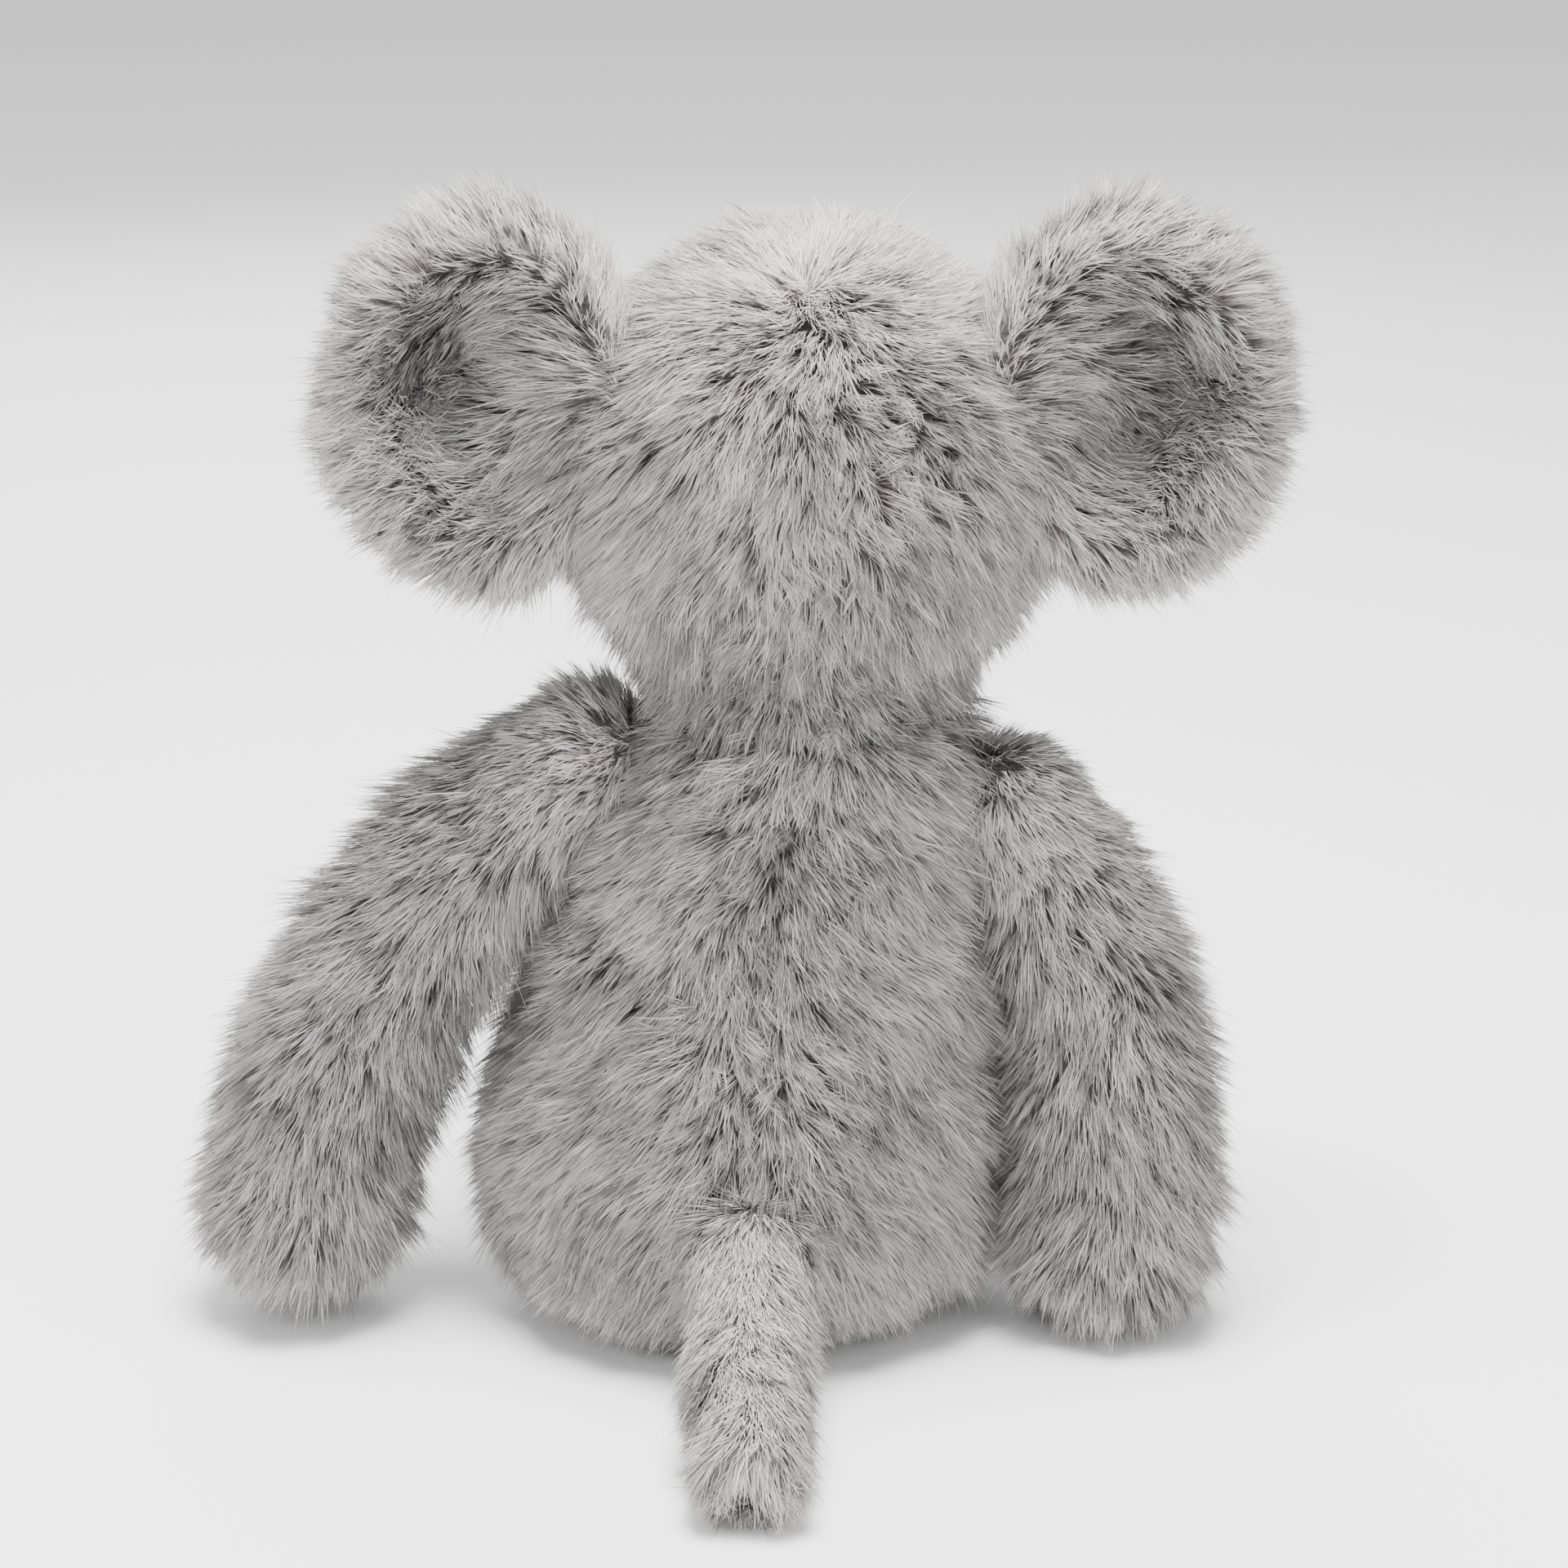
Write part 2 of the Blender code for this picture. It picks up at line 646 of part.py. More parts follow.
# An arm runs from its shoulder to a hand beside the hips, just above the surface.
def build_arm(side):
    sign = SIDES[side]
    shoulder = Vector(shoulder_centre(side))
    hand = Vector((sign * (HIP_HALF + HAND_SPREAD[side] + ARM_HAND), SHOULDER_BACK + HAND_BACK[side],
                   ARM_HAND + HAND_ABOVE_FLOOR[side]))
    chord = hand - shoulder
    span = chord.length
    bow = 4 * math.atan(2 * ARM_BOW[side] / span)
    path = span * (bow / 2) / math.sin(bow / 2)
    outline = limb_outline(ARM_ROOT, ARM_MIDDLE, ARM_HAND, path + ARM_HAND, 1.0)
    splay = math.atan2(abs(chord.x), -chord.z) + bow / 2
    back = math.atan2(chord.y, -chord.z)
    turn = Matrix.Rotation(back, 3, "X") @ Matrix.Rotation(-sign * splay, 3, "Y")
    limb("arm_" + side, outline, fur, shoulder, turn, -sign * bow * (path + ARM_HAND) / path,
         path + ARM_HAND)


# A leg lies forwards on the surface and ends in a round sole.
def build_leg(side):
    sign = SIDES[side]
    centre = hip_centre(side)
    start = arc((0, 0), LEG_ROOT, math.pi / 2 - ROOT_OPENING, 0.0, 3)
    body = smooth([(LEG_ROOT, -ROOT_NECK), (LEG_MIDDLE, -LEG_MIDDLE_AT * LEG_LENGTH),
                   (FOOT_HALF, FOOT_EDGE - LEG_LENGTH)])
    toe = [(FOOT_HALF - FOOT_BEVEL, -LEG_LENGTH), (SOLE_HALF + GAP, -LEG_LENGTH)]
    outside = np.vstack([start, body, toe])
    inside = inset(np.vstack([start, body]), FABRIC)
    inside = inside[inside[:, 1] > FABRIC - LEG_LENGTH]
    rim = [(SOLE_HALF + GAP, THIN_FABRIC - LEG_LENGTH), (FOOT_HALF - FABRIC, FABRIC - LEG_LENGTH)]
    skin = np.vstack([outside, rim, inside[::-1]])
    core = inset(np.vstack([start, body]), FABRIC + GAP)
    floor = FABRIC + GAP - LEG_LENGTH
    core = core[core[:, 1] > floor]
    core = np.vstack([[0.0, core[0, 1]], core, [FOOT_HALF - FABRIC - GAP, floor], [0.0, floor]])
    rise = math.atan2(FOOT_HALF - LEG_MIDDLE, LEG_LENGTH)
    turn = Matrix.Rotation(sign * LEG_TOE_OUT, 3, "Z") @ Matrix.Rotation(-math.pi / 2 - rise, 3, "X")
    joint = joint_empty("leg_joint_" + side, centre)
    place("leg_skin_" + side, turned(skin, LIMB_STEPS, closed=True), fur, turn=turn, parent=joint)
    place("leg_stuffing_" + side, turned(core, LIMB_STEPS), fibre, turn=turn, parent=joint)
    top = THIN_FABRIC - LEG_LENGTH
    sole = [(0.0, top), (SOLE_HALF, top), (SOLE_HALF, -LEG_LENGTH), (0.0, -LEG_LENGTH)]
    place("foot_sole_" + side, turned(sole, LIMB_STEPS), lining, turn=turn, parent=joint,
          smooth_shading=False)


def build_tail():
    outline = limb_outline(TAIL_ROOT, TAIL_MIDDLE, TAIL_TIP, TAIL_LENGTH, TAIL_TIP_ROUNDNESS)
    fall = math.asin((TAIL_Z - TAIL_TIP - TAIL_ABOVE_FLOOR) / (TAIL_LENGTH - TAIL_TIP))
    turn = Matrix.Rotation(math.pi / 2 - fall, 3, "X")
    limb("tail", outline, pale_fur, TAIL_CENTRE, turn)


clear_scene()
toy = new_collection("stuffed_elephant")
cutters = new_collection("cutters")

fur = material("Long-pile plush", FUR_GREY, 0.95)
pale_fur = material("Long-pile plush, pale", PALE_FUR, 0.95)
lining = material("Short-napped plush", LINING_GREY, 0.9)
fibre = material("Polyester fibre", FIBRE_WHITE, 1.0)
pouch_cloth = material("Pellet pouch cloth", POUCH_CREAM, 0.9)
eye_plastic = material("Eye plastic", EYE_BLACK, 0.12)
washer_plastic = material("Washer plastic", WASHER_NATURAL, 0.5)

neck_socket = cutter("neck_socket", ball(NECK_BALL + SOCKET_GAP, 20), NECK_CENTRE)
tail_socket = cutter("tail_socket", ball(TAIL_ROOT + SOCKET_GAP), TAIL_CENTRE)
trunk_socket = cutter("trunk_socket", ball(TRUNK_ROOT + SOCKET_GAP), trunk_centre())
hip_sockets = [cutter("hip_socket_" + side, ball(LEG_ROOT + SOCKET_GAP), hip_centre(side))
               for side in SIDES]
shoulder_sockets = [cutter("shoulder_socket_" + side, ball(ARM_ROOT + SOCKET_GAP),
                           shoulder_centre(side)) for side in SIDES]

build_torso()
neck_joint = joint_empty("neck_joint", NECK_CENTRE)
place("neck_stuffing", ball(NECK_BALL), fibre, parent=neck_joint)
build_head(neck_joint)
build_ears(neck_joint)
build_trunk(neck_joint)
for side in SIDES:
    build_arm(side)
    build_leg(side)
build_tail()
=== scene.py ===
import math

import bpy
import numpy as np
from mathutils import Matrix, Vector
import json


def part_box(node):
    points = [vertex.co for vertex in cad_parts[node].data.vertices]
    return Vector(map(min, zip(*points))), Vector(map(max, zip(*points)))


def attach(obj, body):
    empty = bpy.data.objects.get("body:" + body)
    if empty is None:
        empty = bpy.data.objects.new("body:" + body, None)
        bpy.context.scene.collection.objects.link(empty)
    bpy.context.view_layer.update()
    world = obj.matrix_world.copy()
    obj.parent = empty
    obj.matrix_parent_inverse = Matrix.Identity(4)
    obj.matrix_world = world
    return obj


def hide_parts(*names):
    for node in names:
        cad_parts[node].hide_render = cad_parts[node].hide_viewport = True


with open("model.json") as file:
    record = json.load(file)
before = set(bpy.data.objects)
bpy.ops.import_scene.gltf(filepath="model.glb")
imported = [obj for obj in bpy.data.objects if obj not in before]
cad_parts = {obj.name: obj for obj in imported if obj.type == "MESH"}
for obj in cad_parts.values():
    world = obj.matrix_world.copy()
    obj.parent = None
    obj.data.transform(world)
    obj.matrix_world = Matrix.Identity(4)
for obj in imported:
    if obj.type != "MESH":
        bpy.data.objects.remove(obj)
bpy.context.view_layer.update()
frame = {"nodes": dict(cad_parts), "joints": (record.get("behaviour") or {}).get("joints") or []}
print("frame loaded")

for light in [o for o in bpy.data.objects if o.type == "LIGHT"]:
    bpy.data.objects.remove(light, do_unlink=True)


# ---- small helpers ----

# sRGB hex text to a linear colour.
def linearColour(hexText):
    channels = [int(hexText[i:i + 2], 16) / 255 for i in (0, 2, 4)]
    return [c / 12.92 if c <= 0.04045 else ((c + 0.055) / 1.055) ** 2.4 for c in channels]


# Rows of vectors made one unit long.
def unit(rows):
    return rows / np.maximum(np.linalg.norm(rows, axis=-1, keepdims=True), 1e-12)


# Smooth curve (Catmull-Rom) through points, sampled evenly in parameter, as rows.
def smoothCurve(points, count=160):
    known = np.array(points, float)
    padded = np.vstack([2 * known[0] - known[1], known, 2 * known[-1] - known[-2]])
    t = np.linspace(0, len(known) - 1, count)
    i = np.minimum(t.astype(int), len(known) - 2)
    f = (t - i)[:, None]
    a, b, c, d = padded[i], padded[i + 1], padded[i + 2], padded[i + 3]
    return 0.5 * (2 * b + (c - a) * f + (2 * a - 5 * b + 4 * c - d) * f ** 2
                  + (3 * b - a - 3 * c + d) * f ** 3)


# Reads a sampled curve at parameter v from 0 to 1, by arc length.
def alongCurve(curve, v):
    steps = np.concatenate([[0], np.cumsum(np.linalg.norm(np.diff(curve, axis=0), axis=1))])
    steps /= steps[-1]
    return np.stack([np.interp(v, steps, curve[:, k]) for k in range(curve.shape[1])], axis=-1)


# Eased step from 0 at low to 1 at high.
def ease(x, low, high):
    t = np.clip((x - low) / (high - low), 0, 1)
    return t * t * (3 - 2 * t)


# Smooth noise over space: a sum of sines in random directions, about -1 to 1.
def ripple(points, size, seed, waves=7):
    rng = np.random.default_rng(seed)
    directions = unit(rng.normal(size=(waves, 3))) * rng.uniform(0.7, 1.5, (waves, 1))
    phases = rng.uniform(0, 2 * np.pi, waves)
    return np.sin(points @ directions.T * (2 * np.pi / size) + phases).sum(1) / math.sqrt(waves)


# Places and normals of a surface at parameters u, v.
def placesOn(surface, u, v):
    step = 1e-4
    place = surface["point"](u, v)
    alongU = surface["point"](u + step, v) - surface["point"](u - step, v)
    vLow, vHigh = np.clip(v - step, 0, 1), np.clip(v + step, 0, 1)
    alongV = surface["point"](u, vHigh) - surface["point"](u, vLow)
    normal = unit(np.cross(alongU, alongV)) * surface.get("facing", 1)
    return place, normal


def jointAt(name):
    return np.array(next(j["pos_m"] for j in frame["joints"] if j["name"] == name))


def corners(node):
    low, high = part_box(node)
    return np.array(low), np.array(high)


# ---- materials ----

# Adds a node, with its settings and its links (input name or index to a value or socket).
def addNode(tree, kind, links=(), **settings):
    node = tree.nodes.new(kind)
    for key, value in settings.items():
        setattr(node, key, value)
    for name, value in dict(links).items():
        if isinstance(value, bpy.types.NodeSocket):
            tree.links.new(value, node.inputs[name])
        else:
            node.inputs[name].default_value = value
    return node


def newMaterial(name):
    made = bpy.data.materials.new(name)
    made.use_nodes = True
    tree = made.node_tree
    return made, tree, tree.nodes["Principled BSDF"]


plush = {
    "root": "403b3a",        # between the strands, where little light gets
    "middle": "8d8685",
    "tip": "e6e1df",
    "warmth": "c3b4ab",      # the pinkish brown cast of some tips
    "roughness": 0.72,
    "sheen": 0.35,
}


# Faux fur: modacrylic pile, knitted and sheared, painted dark at the roots as shade between the
# strands and pale at the tips. The map's second value runs root to tip. Its first is the tint of
# each lock, which also carries the painted shade and highlight that the tune functions add.
def furMaterial(name, root=plush["root"], darkest=0.34, brightest=1.40):
    made, tree, shader = newMaterial(name)
    atlas = addNode(tree, "ShaderNodeUVMap", uv_map="OFBake")
    parts = addNode(tree, "ShaderNodeSeparateXYZ", {0: atlas.outputs[0]})
    ramp = addNode(tree, "ShaderNodeValToRGB", {0: parts.outputs[1]})
    stops = ramp.color_ramp
    stops.elements[0].color = (*linearColour(root), 1)
    stops.elements[1].color = (*linearColour(plush["tip"]), 1)
    stops.elements.new(0.45).color = (*linearColour(plush["middle"]), 1)
    gain = addNode(tree, "ShaderNodeMapRange", {0: parts.outputs[0], 3: darkest, 4: brightest})
    lit = addNode(tree, "ShaderNodeVectorMath", {0: ramp.outputs[0], 3: gain.outputs[0]},
                  operation="SCALE")
    cast = addNode(tree, "ShaderNodeMapRange", {0: parts.outputs[0], 1: 0.62, 2: 0.95, 3: 0.0,
                                                4: 0.45})
    tinted = addNode(tree, "ShaderNodeMix", {0: cast.outputs[0], 6: lit.outputs[0],
                                             7: (*linearColour(plush["warmth"]), 1)},
                     data_type="RGBA")
    tree.links.new(tinted.outputs[2], shader.inputs["Base Color"])
    shader.inputs["Roughness"].default_value = plush["roughness"]
    shader.inputs["Sheen Weight"].default_value = plush["sheen"]
    shader.inputs["Sheen Roughness"].default_value = 0.5
    shader.inputs["Specular IOR Level"].default_value = 0.25
    return made


# Polyester fibre: siliconised hollow staple, blown in, a matt white mass of fine crimped hair.
def fibreMaterial():
    made, tree, shader = newMaterial("Polyester fibre filling")
    place = addNode(tree, "ShaderNodeTexCoord")
    crimp = addNode(tree, "ShaderNodeTexNoise", {"Vector": place.outputs["Object"],
                                                 "Scale": 900, "Detail": 6, "Roughness": 0.7})
    ramp = addNode(tree, "ShaderNodeValToRGB", {0: crimp.outputs[0]})
    ramp.color_ramp.elements[0].color = (*linearColour("c9c7c1"), 1)
    ramp.color_ramp.elements[1].color = (*linearColour("f2f0ea"), 1)
    bump = addNode(tree, "ShaderNodeBump", {"Height": crimp.outputs[0], "Strength": 0.7,
                                            "Distance": 0.001})
    tree.links.new(ramp.outputs[0], shader.inputs["Base Color"])
    tree.links.new(bump.outputs[0], shader.inputs["Normal"])
    shader.inputs["Roughness"].default_value = 0.95
    return made


# Cotton pouch cloth: plain weave, about 25 threads a centimetre, drawn at 10 so that it shows.
def pouchMaterial():
    made, tree, shader = newMaterial("Cotton pouch cloth")
    place = addNode(tree, "ShaderNodeTexCoord")
    warp = addNode(tree, "ShaderNodeTexWave", {"Vector": place.outputs["Object"], "Scale": 160},
                   bands_direction="X")
    weft = addNode(tree, "ShaderNodeTexWave", {"Vector": place.outputs["Object"], "Scale": 160},
                   bands_direction="Y")
    weave = addNode(tree, "ShaderNodeMath", {0: warp.outputs[1], 1: weft.outputs[1]},
                    operation="MULTIPLY")
    ramp = addNode(tree, "ShaderNodeValToRGB", {0: weave.outputs[0]})
    ramp.color_ramp.elements[0].color = (*linearColour("c8bda4"), 1)
    ramp.color_ramp.elements[1].color = (*linearColour("e4dcc8"), 1)
    bump = addNode(tree, "ShaderNodeBump", {"Height": weave.outputs[0], "Strength": 0.4,
                                            "Distance": 0.0002})
    tree.links.new(ramp.outputs[0], shader.inputs["Base Color"])
    tree.links.new(bump.outputs[0], shader.inputs["Normal"])
    shader.inputs["Roughness"].default_value = 0.9
    return made


# Short-napped plush: 2 mm pile brushed flat, slightly darker where the nap parts.
def nappedMaterial():
    made, tree, shader = newMaterial("Short-napped plush")
    place = addNode(tree, "ShaderNodeTexCoord")
    nap = addNode(tree, "ShaderNodeTexNoise", {"Vector": place.outputs["Object"], "Scale": 420,
                                               "Detail": 5, "Roughness": 0.65})
    patch = addNode(tree, "ShaderNodeTexNoise", {"Vector": place.outputs["Object"], "Scale": 60,
                                                 "Detail": 2})
    both = addNode(tree, "ShaderNodeMath", {0: nap.outputs[0], 1: patch.outputs[0]},
                   operation="MULTIPLY")
    ramp = addNode(tree, "ShaderNodeValToRGB", {0: both.outputs[0]})
    ramp.color_ramp.elements[0].position = 0.12
    ramp.color_ramp.elements[1].position = 0.42
    ramp.color_ramp.elements[0].color = (*linearColour("6e6766"), 1)
    ramp.color_ramp.elements[1].color = (*linearColour("a59d9b"), 1)
    bump = addNode(tree, "ShaderNodeBump", {"Height": nap.outputs[0], "Strength": 0.8,
                                            "Distance": 0.0006})
    tree.links.new(ramp.outputs[0], shader.inputs["Base Color"])
    tree.links.new(bump.outputs[0], shader.inputs["Normal"])
    shader.inputs["Roughness"].default_value = 0.85
    shader.inputs["Sheen Weight"].default_value = 0.4
    return made


# Acrylic safety eye: injection moulded black, glossy with faint scuffs.
def eyeMaterial():
    made, tree, shader = newMaterial("Black acrylic")
    place = addNode(tree, "ShaderNodeTexCoord")
    scuff = addNode(tree, "ShaderNodeTexNoise", {"Vector": place.outputs["Object"], "Scale": 700,
                                                 "Detail": 3})
    gloss = addNode(tree, "ShaderNodeMapRange", {0: scuff.outputs[0], 3: 0.06, 4: 0.16})
    tint = addNode(tree, "ShaderNodeMapRange", {0: scuff.outputs[0], 3: 0.006, 4: 0.014})
    tree.links.new(gloss.outputs[0], shader.inputs["Roughness"])
    tree.links.new(tint.outputs[0], shader.inputs["Base Color"])
    shader.inputs["Coat Weight"].default_value = 0.5
    shader.inputs["Coat Roughness"].default_value = 0.05
    return made


# Nylon washer: natural, moulded, satin with a fine grain.
def washerMaterial():
    made, tree, shader = newMaterial("Natural nylon")
    place = addNode(tree, "ShaderNodeTexCoord")
    grain = addNode(tree, "ShaderNodeTexNoise", {"Vector": place.outputs["Object"],
                                                 "Scale": 1200, "Detail": 4})
    ramp = addNode(tree, "ShaderNodeValToRGB", {0: grain.outputs[0]})
    ramp.color_ramp.elements[0].color = (*linearColour("c9c8c0"), 1)
    ramp.color_ramp.elements[1].color = (*linearColour("deddd6"), 1)
    tree.links.new(ramp.outputs[0], shader.inputs["Base Color"])
    shader.inputs["Roughness"].default_value = 0.45
    return made


furMain = furMaterial("Long-pile plush")
# painted light: a lighter copy of the same pile for the tail, with less painted shade at the roots
furPaintedLight = furMaterial("Long-pile plush, pale", root="a8a2a0", darkest=0.95, brightest=1.36)
fibre = fibreMaterial()
napped = nappedMaterial()
blackAcrylic = eyeMaterial()
for nodeName, nodeObject in frame["nodes"].items():
    if "stuffing" in nodeName or "wadding" in nodeName:
        finish = fibre
    elif nodeName == "pellet_pouch":
        finish = pouchMaterial()
    elif nodeName.startswith("eye_washer"):
        finish = washerMaterial()
    elif nodeName.startswith("eye_"):
        finish = blackAcrylic
    else:
        finish = napped
    for place in nodeObject.material_slots:
        place.link = "OBJECT"
        place.material = finish
print("materials made")


# ---- fur ----

pile = {
    "perSquareMm": 2.7,      # drawn strands, each standing for a bundle of fibres
    "inLock": 12,            # strands in one lock
    "length": 0.0122,
    "lockRadius": 0.0016,
    "gather": 0.60,          # how far the tips of a lock come together
    "width": 0.00030,
    "lift": 0.84,            # 0 lies flat along the comb, 1 stands straight out
    "mess": 1.0,             # how far locks stray from the comb
}
patches = {                  # noise over the pile: how strong, and how large in metres
    "swirlWide": (0.30, 0.035), "swirlNarrow": (0.26, 0.012), "ruffle": (1.3, 0.008),
    "lift": (0.22, 0.022), "length": (0.13, 0.03),
    "tintWide": (0.10, 0.05), "tintNarrow": (0.13, 0.009),
}
scattered = {                # random spread: of each lock, then of each strand
    "lockSwirl": 0.17, "lockLift": 0.05, "lockLength": 0.10, "lockTint": 0.15,
    "length": 0.16, "lift": 0.07, "stray": 0.20, "twist": 0.5, "tint": 0.30, "normal": 0.28,
    "longShare": 0.05, "longBy": 1.18,  # a few strands stand out of the pile
}
groundClearance = 0.0004     # pile that would go through the ground lies on it instead


# Smooth noise as strong and as large as a patch says.
def patchy(points, name, seed):
    strength, size = patches[name]
    return strength * ripple(points, size, seed)


# Picks u, v evenly over a surface's area, as many as its area and the thinning ask for.
def scatter(surface, perSquareMetre, rng, thin=None):
    across, down = 96, 96
    u = (np.arange(across) + 0.5) / across * (surface["u"][1] - surface["u"][0]) + surface["u"][0]
    v = (np.arange(down) + 0.5) / down * (surface["v"][1] - surface["v"][0]) + surface["v"][0]
    u, v = [g.ravel() for g in np.meshgrid(u, v, indexing="ij")]
    du = (surface["u"][1] - surface["u"][0]) / across
    dv = (surface["v"][1] - surface["v"][0]) / down
    half = 0.25
    sideU = surface["point"](u + half * du, v) - surface["point"](u - half * du, v)
    sideV = surface["point"](u, v + half * dv) - surface["point"](u, v - half * dv)
    area = np.linalg.norm(np.cross(sideU, sideV), axis=1) / (2 * half) ** 2
    if thin is not None:
        area = area * thin(surface["point"](u, v))
    share = np.cumsum(area)
    count = int(round(share[-1] * perSquareMetre))
    pick = (np.arange(count) + rng.random(count)) / count * share[-1]
    cell = np.minimum(np.searchsorted(share, pick), len(u) - 1)
    return (u[cell] + (rng.random(count) - 0.5) * du, v[cell] + (rng.random(count) - 0.5) * dv)


# Strands as tapered blades, on a curve that leaves the skin steeply and then lies over along
# the comb, the tips of each lock drawn together. A blade is a four-sided foot and a
# three-sided tip, and the tip has a second face behind it, whose normals lean along the
# strand, so that it isn't black from underneath.
# Returns corners, normals and the (tint, root to tip) pairs.
def growStrands(surface, comb, rng, look=None, thin=None, tune=None, ruffle=None):
    look = {**pile, **(look or {})}
    locks = look["perSquareMm"] * 1e6 / look["inLock"]
    u, v = scatter(surface, locks, rng, thin)
    centre, normal = placesOn(surface, u, v)
    flow = comb(centre, normal)
    flow = unit(flow - normal * (flow * normal).sum(1, keepdims=True))
    count = len(u)
    swirl = patchy(centre, "swirlWide", 11) + patchy(centre, "swirlNarrow", 12)
    swirl = (swirl + rng.normal(0, scattered["lockSwirl"], count)) * look["mess"]
    if ruffle is not None:
        swirl = swirl + ruffle(centre) * patchy(centre, "ruffle", 21)
    side = np.cross(normal, flow)
    flow = unit(flow * np.cos(swirl)[:, None] + side * np.sin(swirl)[:, None])
    side = np.cross(normal, flow)
    lift = look["lift"] * (1 + patchy(centre, "lift", 13))
    lift = lift + rng.normal(0, scattered["lockLift"], count)
    length = 1 + patchy(centre, "length", 14) + rng.normal(0, scattered["lockLength"], count)
    length = look["length"] * length
    tint = 0.5 + patchy(centre, "tintWide", 15) + patchy(centre, "tintNarrow", 16)
    tint = tint + rng.normal(0, scattered["lockTint"], count)
    if tune is not None:
        lift, length, tint = tune(centre, normal, lift, length, tint)
    many = look["inLock"]

    def spread(values):
        return np.repeat(values, many, axis=0)

    centre, normal, flow, side = map(spread, (centre, normal, flow, side))
    lift, length, tint = map(spread, (lift, length, tint))
    count = len(lift)
    away = look["lockRadius"] * np.sqrt(rng.random(count))
    angle = rng.random(count) * 2 * np.pi
    offset = flow * (away * np.cos(angle))[:, None] + side * (away * np.sin(angle))[:, None]
    root = centre + offset - normal * (away ** 2 / 0.06)[:, None]
    length = length * (1 + rng.normal(0, scattered["length"], count))
    length = length * np.where(rng.random(count) < scattered["longShare"], scattered["longBy"], 1)
    lift = np.clip(lift + rng.normal(0, scattered["lift"], count), 0.04, 1.2)
    stray = rng.normal(0, scattered["stray"], count)
    lean = flow + side * stray[:, None]
    rise = np.clip(lift * 1.35, 0, 1)[:, None]
    over = np.clip(lift * 0.78, 0, 1)[:, None]
    first = unit(normal * rise + lean * (1 - 0.6 * rise))
    second = unit(normal * over + lean * (1 - 0.5 * over) + np.array([0, 0, -0.12]))
    knee = root + first * (length * 0.45)[:, None]
    tip = knee + second * (length * 0.62)[:, None] - offset * look["gather"]
    at = np.array([0.0, 0.5])
    curve = [root * (1 - t) ** 2 + knee * 2 * t * (1 - t) + tip * t * t for t in at]
    twist = rng.normal(0, scattered["twist"], count)[:, None]
    blade = unit(np.cross(second, normal) * np.cos(twist) + normal * np.sin(twist))
    width = look["width"] * rng.uniform(0.7, 1.3, count)[:, None]
    rows = []
    for middle in curve:
        rows += [middle - blade * width / 2, middle + blade * width / 2]
    rows.append(tip)
    behind = unit(np.cross(blade, second)) * -look["width"] * 0.25
    rows += [rows[2] + behind, rows[3] + behind, tip + behind]
    points = np.stack(rows, axis=1)
    sideways = blade * rng.normal(0, scattered["normal"], count)[:, None]
    shade = unit(normal * 0.75 + first * 0.25 + sideways)
    shades = np.repeat(shade[:, None], 8, axis=1)
    shades[:, 5:] = unit(normal * 0.30 + second * 0.85)[:, None]
    tint = np.clip(tint + rng.normal(0, scattered["tint"], count), 0.01, 0.99)
    heights = np.array([0, 0, at[1], at[1], 1.0, at[1], at[1], 1.0]) * 0.98 + 0.01
    pairs = np.stack([np.repeat(tint[:, None], 8, axis=1),
                      np.repeat(heights[None], count, axis=0)], axis=2)
    floor = np.minimum(points[..., 2], 0.0)
    points[..., 2] -= floor * 0.96 - np.where(floor < 0, groundClearance, 0)
    return points, shades, pairs


# The skin under the fur: a grid over the surface's parameters, closed where its ends meet.
def skinGrid(surface, across=48, down=40):
    u = np.linspace(*surface["u"], across + 1)
    v = np.linspace(*surface["v"], down + 1)
    gridU, gridV = np.meshgrid(u, v, indexing="ij")
    points = surface["point"](gridU.ravel(), gridV.ravel())
    index = np.arange((across + 1) * (down + 1)).reshape(across + 1, down + 1)
    quads = np.stack([index[:-1, :-1], index[1:, :-1], index[1:, 1:], index[:-1, 1:]], axis=-1)
    quads = quads.reshape(-1, 4)
    if surface.get("facing", 1) < 0:
        quads = quads[:, ::-1]
    return points, quads


